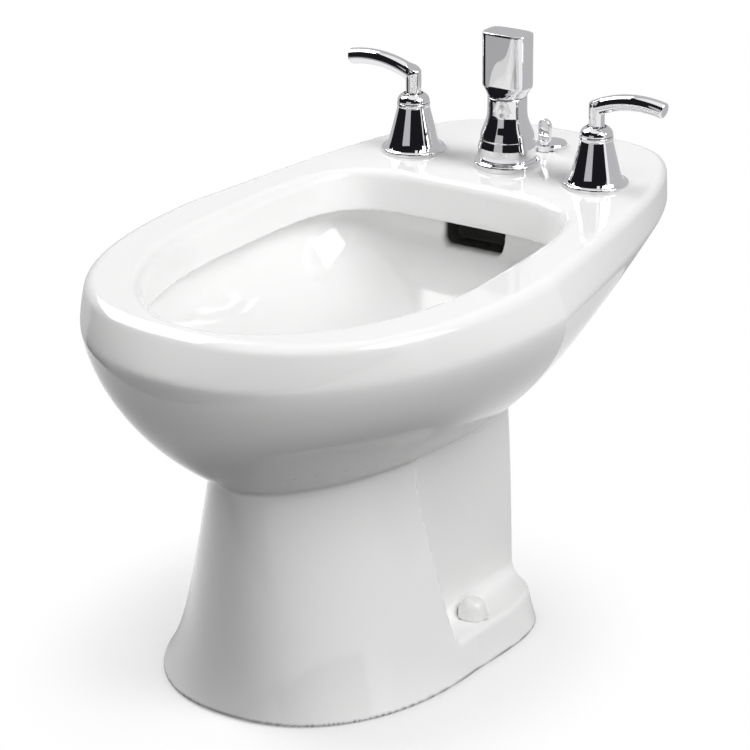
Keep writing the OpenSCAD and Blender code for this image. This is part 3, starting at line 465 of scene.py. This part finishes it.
# Materials
def new_material(name):
    mat = bpy.data.materials.new(name)
    mat.use_nodes = True
    tree = mat.node_tree
    tree.nodes.clear()
    out = tree.nodes.new("ShaderNodeOutputMaterial")
    bsdf = tree.nodes.new("ShaderNodeBsdfPrincipled")
    tree.links.new(bsdf.outputs["BSDF"], out.inputs["Surface"])
    coord = tree.nodes.new("ShaderNodeTexCoord")
    return mat, tree, bsdf, coord.outputs["Object"]


def math_node(tree, kind, a, b, clamp=False):
    n = tree.nodes.new("ShaderNodeMath")
    n.operation = kind
    n.use_clamp = clamp
    for socket, value in zip(n.inputs, (a, b)):
        if isinstance(value, (int, float)):
            socket.default_value = value
        else:
            tree.links.new(value, socket)
    return n.outputs[0]


def noise(tree, coord, scale, detail=3.0, rough=0.5):
    n = tree.nodes.new("ShaderNodeTexNoise")
    n.inputs["Scale"].default_value = scale
    n.inputs["Detail"].default_value = detail
    n.inputs["Roughness"].default_value = rough
    tree.links.new(coord, n.inputs["Vector"])
    return n.outputs["Fac"]


def ramp(tree, fac, stops):
    r = tree.nodes.new("ShaderNodeValToRGB")
    e = r.color_ramp.elements
    while len(e) < len(stops):
        e.new(0.5)
    for item, (pos, col) in zip(e, stops):
        item.position = pos
        item.color = (*col, 1.0) if len(col) == 3 else col
    tree.links.new(fac, r.inputs["Fac"])
    return r.outputs["Color"]


def spread(tree, fac, low, high):
    """Noise, which lies mostly from 0.3 to 0.7, brought to a range of its own."""
    m = tree.nodes.new("ShaderNodeMapRange")
    m.inputs["From Min"].default_value = 0.3
    m.inputs["From Max"].default_value = 0.7
    m.inputs["To Min"].default_value = low
    m.inputs["To Max"].default_value = high
    tree.links.new(fac, m.inputs["Value"])
    return m.outputs["Result"]


def bump(tree, bsdf, fac, distance, strength):
    b = tree.nodes.new("ShaderNodeBump")
    b.inputs["Distance"].default_value = distance
    b.inputs["Strength"].default_value = strength
    tree.links.new(fac, b.inputs["Height"])
    tree.links.new(b.outputs["Normal"], bsdf.inputs["Normal"])


# Painted shade: near-black for the inside of the overflow channel, standing in for the shade in that recess
CHANNEL_PAINTED_SHADE = (0.06, 0.058, 0.054, 1)


def painted_channel_shade(tree, co, glaze):
    """The glaze's colour, with painted shade inside the overflow channel: its inside is painted near-black,
    standing in for the shade in that recess.

    Each side of the channel fades from 0 to 1 between two places, in metres.
    """
    part = tree.nodes.new("ShaderNodeSeparateXYZ")
    tree.links.new(co, part.inputs["Vector"])
    mask = None
    sides = (("Y", 0.150, 0.156), ("Z", 0.337, 0.334), ("Z", 0.28, 0.285), ("Y", 0.184, 0.182))
    for socket, low, high in sides:
        m = tree.nodes.new("ShaderNodeMapRange")
        m.inputs["From Min"].default_value = low
        m.inputs["From Max"].default_value = high
        tree.links.new(part.outputs[socket], m.inputs["Value"])
        mask = m.outputs["Result"] if mask is None else math_node(tree, "MULTIPLY", mask, m.outputs["Result"])
    blend = tree.nodes.new("ShaderNodeMix")
    blend.data_type = "RGBA"
    tree.links.new(mask, blend.inputs["Factor"])
    tree.links.new(glaze, blend.inputs["A"])
    blend.inputs["B"].default_value = CHANNEL_PAINTED_SHADE
    return blend.outputs["Result"]


def china():
    mat, tree, bsdf, co = new_material("glazed_china")
    tone = noise(tree, co, 3.0, 2.0)
    glaze = ramp(tree, tone, [(0.3, (0.905, 0.905, 0.9)), (0.7, (0.93, 0.93, 0.928))])
    # The overflow channel's inside is darkened with painted shade
    tree.links.new(painted_channel_shade(tree, co, glaze), bsdf.inputs["Base Color"])
    tree.links.new(spread(tree, noise(tree, co, 9.0, 3.0), 0.055, 0.085), bsdf.inputs["Roughness"])
    bsdf.inputs["IOR"].default_value = 1.5
    bsdf.inputs["Subsurface Weight"].default_value = 0.06
    bsdf.inputs["Subsurface Radius"].default_value = (0.004, 0.0037, 0.0033)
    bsdf.inputs["Subsurface Scale"].default_value = 1.0
    bump(tree, bsdf, noise(tree, co, 14.0, 2.0), 0.0006, 0.12)
    return mat


def metal(name, low, high, rough, grain_scale=220.0, grain=0.00002):
    mat, tree, bsdf, co = new_material(name)
    tree.links.new(ramp(tree, noise(tree, co, 12.0), [(0.3, low), (0.7, high)]), bsdf.inputs["Base Color"])
    tree.links.new(spread(tree, noise(tree, co, grain_scale), rough[0], rough[1]), bsdf.inputs["Roughness"])
    bsdf.inputs["Metallic"].default_value = 1.0
    if grain:
        bump(tree, bsdf, noise(tree, co, grain_scale), grain, 0.3)
    return mat


def plain(name, low, high, rough, scale=25.0, depth=0.0001):
    mat, tree, bsdf, co = new_material(name)
    tree.links.new(ramp(tree, noise(tree, co, scale), [(0.3, low), (0.7, high)]), bsdf.inputs["Base Color"])
    tree.links.new(spread(tree, noise(tree, co, scale * 4), rough[0], rough[1]), bsdf.inputs["Roughness"])
    bump(tree, bsdf, noise(tree, co, scale * 6), depth, 0.2)
    return mat


MATERIALS = {
    "vitreous_china": china(),
    "white_plastic": plain("white_plastic", (0.86, 0.86, 0.85), (0.9, 0.9, 0.89), (0.22, 0.3)),
    "chrome": metal("chrome", (0.80, 0.80, 0.81), (0.84, 0.84, 0.85), (0.02, 0.045), 60.0, 0),
    "brass": metal("brass", (0.62, 0.44, 0.17), (0.76, 0.58, 0.27), (0.2, 0.34)),
    "copper": metal("copper", (0.62, 0.3, 0.17), (0.8, 0.44, 0.28), (0.16, 0.34), 140.0),
    "rubber": plain("rubber", (0.012, 0.012, 0.012), (0.03, 0.03, 0.03), (0.55, 0.7), 60.0),
    "steel": metal("steel", (0.45, 0.45, 0.46), (0.6, 0.6, 0.6), (0.25, 0.4)),
}


def dress_nodes():
    """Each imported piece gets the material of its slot."""
    slots = {s["node"]: s["material_slot"] for s in frame["record"]["subparts"]}
    for name, obj in frame["nodes"].items():
        obj = bpy.data.objects[obj] if isinstance(obj, str) else obj
        obj.data.materials.clear()
        obj.data.materials.append(MATERIALS[slots[name]])


# Studio
# How much light the floor and the world send back to the object
FLOOR_BOUNCE = 0.1
WORLD_FILL = 0.1
FLOOR_R, FLOOR_DROP, FLOOR_TONE = 9, 0.0005, 0.93
# The floor shows the object's shade in an oval round the foot. Between two distances, in half sizes of the
# oval, it fades to white.
SHADE_Y, SHADE_HALF_X, SHADE_HALF_Y = -0.098, 0.145, 0.172
SHADE_FULL, SHADE_END, SHADE_LIFT = 0.9, 2.0, 0.3


def seen(tree):
    """1 for rays that show the background: camera, glossy and transmission rays."""
    path = tree.nodes.new("ShaderNodeLightPath")
    rays = math_node(tree, "ADD", path.outputs["Is Camera Ray"], path.outputs["Is Glossy Ray"], True)
    every = math_node(tree, "ADD", rays, path.outputs["Is Transmission Ray"], True)
    return path.outputs["Is Camera Ray"], every


def shade_fade(tree):
    """From SHADE_LIFT at the foot to 1 far from it, on the floor."""
    geo = tree.nodes.new("ShaderNodeNewGeometry")
    place = tree.nodes.new("ShaderNodeVectorMath")
    place.operation = "MULTIPLY_ADD"
    place.inputs[1].default_value = (1 / SHADE_HALF_X, 1 / SHADE_HALF_Y, 0)
    place.inputs[2].default_value = (0, -SHADE_Y / SHADE_HALF_Y, 0)
    tree.links.new(geo.outputs["Position"], place.inputs[0])
    gap = tree.nodes.new("ShaderNodeVectorMath")
    gap.operation = "LENGTH"
    tree.links.new(place.outputs["Vector"], gap.inputs[0])
    far = tree.nodes.new("ShaderNodeMapRange")
    far.interpolation_type = "SMOOTHSTEP"
    far.inputs["From Min"].default_value = SHADE_FULL
    far.inputs["From Max"].default_value = SHADE_END
    far.inputs["To Min"].default_value = SHADE_LIFT
    tree.links.new(gap.outputs["Value"], far.inputs["Value"])
    return far.outputs["Result"]


def mix_shaders(tree, factor, first, second):
    """The first shader where the factor is 0, the second where it is 1."""
    blend = tree.nodes.new("ShaderNodeMixShader")
    tree.links.new(factor, blend.inputs["Fac"])
    tree.links.new(first, blend.inputs[1])
    tree.links.new(second, blend.inputs[2])
    return blend.outputs["Shader"]


def make_floor():
    place = (0, 0, -FLOOR_DROP)
    bpy.ops.mesh.primitive_circle_add(vertices=128, radius=FLOOR_R, fill_type="NGON", location=place)
    floor = bpy.context.object
    floor.name = "studio_floor"
    mat = bpy.data.materials.new("studio_floor")
    mat.use_nodes = True
    tree = mat.node_tree
    tree.nodes.clear()
    out = tree.nodes.new("ShaderNodeOutputMaterial")
    camera_ray, shown = seen(tree)
    tone = tree.nodes.new("ShaderNodeMix")
    tone.data_type = "RGBA"
    tone.inputs["A"].default_value = (FLOOR_BOUNCE, FLOOR_BOUNCE, FLOOR_BOUNCE, 1)
    tone.inputs["B"].default_value = (FLOOR_TONE, FLOOR_TONE, FLOOR_TONE, 1)
    tree.links.new(camera_ray, tone.inputs["Factor"])
    soft = tree.nodes.new("ShaderNodeBsdfDiffuse")
    tree.links.new(tone.outputs["Result"], soft.inputs["Color"])
    glow = tree.nodes.new("ShaderNodeEmission")
    factor = math_node(tree, "MULTIPLY", shown, shade_fade(tree))
    surface = mix_shaders(tree, factor, soft.outputs["BSDF"], glow.outputs["Emission"])
    tree.links.new(surface, out.inputs["Surface"])
    floor.data.materials.append(mat)


def make_world():
    world = bpy.data.worlds.new("studio")
    bpy.context.scene.world = world
    world.use_nodes = True
    tree = world.node_tree
    tree.nodes.clear()
    out = tree.nodes.new("ShaderNodeOutputWorld")
    white = tree.nodes.new("ShaderNodeBackground")
    white.inputs["Color"].default_value = (1, 1, 1, 1)
    fill = tree.nodes.new("ShaderNodeBackground")
    fill.inputs["Color"].default_value = (1, 1, 1, 1)
    fill.inputs["Strength"].default_value = WORLD_FILL
    surface = mix_shaders(tree, seen(tree)[1], fill.outputs["Background"], white.outputs["Background"])
    tree.links.new(surface, out.inputs["Surface"])


SCREEN_LOOKS = {"dark": (0.012, 0.012, 0.015), "grey": (0.55, 0.55, 0.56), "white": (1.0, 1.0, 1.0),
                "slate": (0.45, 0.45, 0.46)}
# Screens on a dome of this radius about this height, in cells of so many degrees
DOME_R, DOME_Z, CELL = 4, 0.42, 2
# Each covers turns from the camera's side, right positive, and heights, in degrees. The first that fits
# counts, and the rest of the dome is dark.
DOME_SCREENS = [
    ("white", -180, 180, 62, 90),
    ("grey", 64, 180, -10, 62),
    ("grey", -180, -128, -10, 62),
    ("white", 50, 64, -10, 62),
    ("grey", -56, -20, -10, 24),
    ("white", 8, 22, 38, 56),
]
# Two rings of screens lie on the floor, from an inner to an outer radius. Each row is a range of turns with
# the looks of both rings. The rest of the floor shows white.
RINGS = ((0.8, 1.9), (1.9, 3.9))
RING_Z = 0.002
RING_SCREENS = [
    (-180, -128, ("grey", "grey")),
    (-128, -100, ("dark", "dark")),
    (-100, -12, ("slate", "dark")),
    (64, 180, ("grey", "grey")),
]


def screen_material(name, col):
    mat = bpy.data.materials.new("screen_" + name)
    mat.use_nodes = True
    tree = mat.node_tree
    tree.nodes.clear()
    out = tree.nodes.new("ShaderNodeOutputMaterial")
    glow = tree.nodes.new("ShaderNodeEmission")
    glow.inputs["Color"].default_value = (*col, 1)
    tree.links.new(glow.outputs["Emission"], out.inputs["Surface"])
    return mat


def dome_look(turn, up):
    """The look of the cell that begins at a turn and height."""
    for look, left, right, low, high in DOME_SCREENS:
        if left <= turn < right and low <= up < high:
            return look
    return "dark"


def ring_looks(turn):
    for left, right, looks in RING_SCREENS:
        if left <= turn < right:
            return looks
    return ()


def surround():
    """Dark and pale screens round the set that only reflections see, as flags and soft boxes."""
    turns, ups = range(-180, 181, CELL), range(-10, 91, CELL)

    def spot(turn, r, z):
        a = math.radians(CAMERA_TURN + turn)
        return r * math.sin(a), -r * math.cos(a), z

    verts, faces, looks = [], [], []
    for turn in turns:
        for up in ups:
            e = math.radians(up)
            verts.append(spot(turn, DOME_R * math.cos(e), DOME_Z + DOME_R * math.sin(e)))
    n = len(ups)
    for i, turn in enumerate(turns[:-1]):
        for j, up in enumerate(ups[:-1]):
            k = i * n + j
            faces.append((k, k + n, k + n + 1, k + 1))
            looks.append(dome_look(turn, up))
    for turn in turns[:-1]:
        for (inner, outer), look in zip(RINGS, ring_looks(turn)):
            corners = ((turn, inner), (turn + CELL, inner), (turn + CELL, outer), (turn, outer))
            faces.append(tuple(range(len(verts), len(verts) + 4)))
            verts += [spot(t, r, RING_Z) for t, r in corners]
            looks.append(look)
    mesh = bpy.data.meshes.new("studio_screens")
    mesh.from_pydata(verts, [], faces)
    mesh.polygons.foreach_set("material_index", [list(SCREEN_LOOKS).index(look) for look in looks])
    for name, col in SCREEN_LOOKS.items():
        mesh.materials.append(screen_material(name, col))
    obj = bpy.data.objects.new("studio_screens", mesh)
    bpy.context.scene.collection.objects.link(obj)
    obj.visible_camera = False
    obj.visible_diffuse = False
    obj.visible_shadow = False
    obj.visible_transmission = False


# Lamps: place, side of the square in metres, power in watts, and whether reflections show the lamp
LAMP_AIM = (0, 0, 0.3)
LAMPS = {
    "top_left": ((-1.9, 0.2, 2.2), 1.6, 46, True),
    "top_right": ((1.9, 0.2, 2.2), 1.6, 49, True),
    "top_front": ((0.0, -1.9, 2.2), 1.6, 8, False),
    "right_front": ((2.2, -1.8, 1.0), 1.2, 19, False),
    "left": ((-2.7, -0.2, 0.9), 1.2, 7, False),
}


def lights():
    for name, (place, size, power, mirrored) in LAMPS.items():
        data = bpy.data.lights.new(name, "AREA")
        data.shape = "SQUARE"
        data.size = size
        data.energy = power
        obj = bpy.data.objects.new(name, data)
        obj.location = place
        obj.visible_glossy = mirrored
        obj.rotation_euler = (Vector(LAMP_AIM) - Vector(place)).to_track_quat("-Z", "Y").to_euler()
        bpy.context.scene.collection.objects.link(obj)


# Pieces
# Meshes that aren't given normals have sharp edges from this angle, in degrees
SHARP = 40


def add_mesh(name, verts, faces, normals=None):
    mesh = bpy.data.meshes.new(name)
    mesh.from_pydata((np.asarray(verts) * MM).tolist(), [], [list(map(int, f)) for f in faces])
    mesh.shade_smooth()
    if normals is None:
        mesh.set_sharp_from_angle(angle=math.radians(SHARP))
    else:
        mesh.normals_split_custom_set_from_vertices(np.asarray(normals).tolist())
    obj = bpy.data.objects.new(name, mesh)
    bpy.context.scene.collection.objects.link(obj)
    return obj


def stand_for(obj, node, body, slot):
    """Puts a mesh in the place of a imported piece, on that piece's body."""
    obj.data.materials.append(MATERIALS[slot])
    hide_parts(node)
    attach(obj, body)


def rounded(points, radii, n=6):
    """A profile with each inner corner replaced by an arc of its own radius."""
    out = [points[0]]
    for (a, b, c), r in zip(zip(points, points[1:], points[2:]), radii):
        a, b, c = (np.array(q, float) for q in (a, b, c))
        u, v = a - b, c - b
        lu, lv = np.linalg.norm(u), np.linalg.norm(v)
        u, v = u / lu, v / lv
        half = 0.5 * math.acos(max(-1.0, min(1.0, float(u @ v))))
        back = min(r / math.tan(half), 0.49 * lu, 0.49 * lv) if r else 0
        if back <= 0:
            out.append(tuple(b))
            continue
        p, q = b + u * back, b + v * back
        for k in np.linspace(0, 1, n + 1):
            middle = 2 * k * (1 - k) * math.sin(half)
            total = (1 - k) ** 2 + middle + k * k
            w = middle / total
            s = (1 - k) ** 2 / total
            out.append(tuple(s * p + w * b + (1 - s - w) * q))
    out.append(points[-1])
    return out


def lathe(name, profile, centre, segments=128):
    """A closed ring of profile points turned about an upright axis; points on the axis are shared."""
    t = np.arange(segments) * 2 * math.pi / segments
    verts, rows = [], []
    for r, z in profile:
        if r < 1e-6:
            rows.append([len(verts)])
            verts.append((centre[0], centre[1], centre[2] + z))
        else:
            rows.append(list(range(len(verts), len(verts) + segments)))
            spokes = zip(np.cos(t), np.sin(t))
            verts += [(centre[0] + r * c, centre[1] + r * s, centre[2] + z) for c, s in spokes]
    faces = []
    for a, b in zip(rows, rows[1:] + rows[:1]):
        for j in range(segments):
            k = (j + 1) % segments
            quad = [a[j % len(a)], a[k % len(a)], b[k % len(b)], b[j % len(b)]]
            face = [v for i, v in enumerate(quad) if v != quad[i - 1]]
            if len(face) > 2:
                faces.append(face)
    return add_mesh(name, verts, faces)


# The faucet's pieces, in millimetres above the deck
BELL_H, BELL_R, BELL_TOP_R = 48.0, 31.3, 15.4
CENTRE_R, BULB_R, NECK_R = 32.0, 26.4, 19.0
KNOB_LOW, KNOB_H = 69, 131.0
# The lift knob: its foot above the deck, its tab with a round top about TAB_Z, and its collar
LIFT_KNOB_Z = 5.4
TAB_R, TAB_Z, TAB_HALF_T = 6.5, 19, 2.5
COLLAR_R, COLLAR_H = 4.5, 4
# A lever: its hub, its dome, and its rod, bent along an arc about ROD_CENTRE
HUB_R, HUB_ARC = 7.4, 112.0
LEVER_DOME_R, LEVER_DOME_Z, LEVER_DOME_H = 15.6, 49.4, 8
ROD_CENTRE, ROD_ARC, ROD_R, ROD_TIP = (46.2, -19.6), 105.3, 7.7, 76


def cell_sizes(coarse, fine):
    """Sizes of the cells that a solid is meshed in."""
    return [coarse, fine]


def make_china():
    fine = 3.0
    low, high = (-218, -352, -4), (218, 352, 387)
    verts, quads, normals = nets(china_solid, low, high, [4 * fine, fine])
    stand_for(add_mesh("china", verts, quads, normals), "china_body", "fixed", "vitreous_china")


def make_bells():
    """The two handles' bells, turned from one profile."""
    fall = BELL_R - 5.6 - BELL_TOP_R
    flank = [(BELL_TOP_R + fall * (1 - (k / 8) ** 0.92), 6 + 38 * k / 8) for k in range(1, 9)]
    out = [(11, 0), (BELL_R, 0), (BELL_R, 4.0), (BELL_R - 3.6, 4.0), (BELL_R - 5.2, 6.4)] + flank
    out += [(16, 45), (16, BELL_H), (11, BELL_H)]
    radii = [0.5, 1.9, 0.7, 2.5] + [20] * 7 + [0.6, 0.9, 0.9]
    profile = rounded(out, radii)
    for name, side in (("left_bell", -1), ("right_bell", 1)):
        bell = lathe(name + "_turned", profile, (side * HANDLE_X, HANDLE_Y, RIM_Z))
        stand_for(bell, name, "fixed", "chrome")


def lever_solid(p):
    """The right lever: dome and hub on the stem's axis, and the bent rod towards positive x."""
    x, y, z = p[:, 0], p[:, 1], p[:, 2]
    r = np.hypot(x, y)
    a = np.radians(np.linspace(0, 90, 60))
    dome_z = LEVER_DOME_Z + LEVER_DOME_H * np.sin(a)
    dome_r = HUB_R + (LEVER_DOME_R - HUB_R) * np.maximum(np.cos(a), 0) ** 1.3
    wide = np.interp(z, dome_z, dome_r)
    lean = (np.interp(z + 0.1, dome_z, dome_r) - wide) / 0.1
    dome = cut((r - wide) / np.sqrt(1 + lean * lean), BELL_H + 0.4 - z, 0.8)
    dome = cut(dome, z - (LEVER_DOME_Z + LEVER_DOME_H), 0.3)
    dx, dz = x - ROD_CENTRE[0], z - ROD_CENTRE[1]
    q = np.hypot(dx, dz)
    hub = cut(cut(r - HUB_R, BELL_H + 2 - z, 0.3), q - HUB_ARC, 1.2)
    tip = math.radians(ROD_TIP)
    rod = cut(np.hypot(q - ROD_ARC, y) - ROD_R, dx * math.sin(tip) - dz * math.cos(tip), 2.2)
    rod = cut(rod, np.minimum(-x, r - HUB_R), 0.8)
    f = join(join(dome, hub, 0.6), rod, 1.0)
    f = cut(f, -post(x, y, z, 0, 0, 4, BELL_H - 1, 71), 0.4)  # bore for the stem
    return cut(f, -np.maximum(np.hypot(x, z - 60) - 2, -y), 0.4)  # hole for the set screw


def make_levers():
    verts, quads, normals = nets(lever_solid, (-20, -20, 44), (80, 20, 98), cell_sizes(4.0, 1.0))
    for node, side, body in (("left_lever", -1, "hot_handle"), ("right_lever", 1, "cold_handle")):
        v = verts * (side, 1, 1) + (side * HANDLE_X, HANDLE_Y, RIM_Z)
        obj = add_mesh(node + "_smooth", v, quads[:, ::side], normals * (side, 1, 1))
        stand_for(obj, node, body, "chrome")


def make_centre():
    """The centre bell: foot, bulb, and the neck that the knob sits on."""
    curve = [(27.1, 7.5), (28.2, 12), (28.2, 20), (BULB_R, 26)]
    for k in range(1, 9):
        curve.append((BULB_R + (NECK_R + 0.2 - BULB_R) * ease(k / 8), 26 + 26 * k / 8))
    out = [(9, 0), (CENTRE_R, 0), (CENTRE_R, 6.0), (CENTRE_R - 4.2, 6.2)] + curve
    out += [(NECK_R, 56), (NECK_R, 68.6), (9, 68.6)]
    radii = [0.5, 2.4, 0.8, 2, 5, 5] + [20] * 9 + [4, 1.2]
    obj = lathe("centre_bell_turned", rounded(out, radii), (0, DIVERTER_Y, RIM_Z))
    stand_for(obj, "centre_bell", "fixed", "chrome")


def knob_table():
    """Height, half width, half depth and power: round at the neck, then a rounded oblong."""
    rows = [(60, 19, 19, 2), (69, 19, 19, 2), (71, 19.4, 18.6, 2.1), (74, 20.6, 16.6, 2.6),
            (77, 22.6, 14.9, 3.4), (78.5, 23.4, 14.5, 3.9), (80, 23.5, 14.5, 4), (140, 23.5, 14.5, 4)]
    return Table([r[0] for r in rows], [[r[1], -r[2], 0, r[2], r[3], r[3], 0] for r in rows])


KNOB = knob_table()


def knob_solid(p):
    x, y, z = p[:, 0], p[:, 1], p[:, 2]
    f = cut(cut(lofted(x, y, z, KNOB), z - KNOB_H, 1.6), KNOB_LOW - z, 0.4)
    return cut(f, -post(x, y, z, 0, 0, 6, 60, 95), 0.4)  # bore for the stem


def make_knob():
    verts, quads, normals = nets(knob_solid, (-26, -22, 66), (26, 22, 134), cell_sizes(4.0, 1.0))
    obj = add_mesh("diverter_knob_smooth", verts + (0, DIVERTER_Y, RIM_Z), quads, normals)
    stand_for(obj, "diverter_knob", "diverter", "chrome")


def lift_knob_solid(p):
    """A flat tab with a round top on a short collar, bored for the rod."""
    x, y, z = p[:, 0], p[:, 1], p[:, 2]
    tab = np.where(z > TAB_Z, np.hypot(x, z - TAB_Z) - TAB_R, np.abs(x) - TAB_R)
    tab = cut(cut(tab, np.abs(y) - TAB_HALF_T, 1.0), 3 - z, 0.8)
    collar = cut(cut(np.hypot(x, y) - COLLAR_R, z - COLLAR_H, 0.5), -z, 0.3)
    return cut(join(tab, collar, 0.8), -post(x, y, z, 0, 0, 2.4, -2, 12), 0.3)


def make_popup():
    verts, quads, normals = nets(lift_knob_solid, (-9, -7, -2), (9, 7, 28), cell_sizes(3.0, 0.75))
    obj = add_mesh("lift_knob_smooth", verts + (LIFT_X, LIFT_Y, RIM_Z + LIFT_KNOB_Z), quads, normals)
    stand_for(obj, "lift_knob", "lift", "chrome")


make_camera()
dress_nodes()
make_china()
make_bells()
make_levers()
make_centre()
make_knob()
make_popup()
make_floor()
make_world()
surround()
lights()
bpy.context.scene.view_settings.view_transform = "Standard"
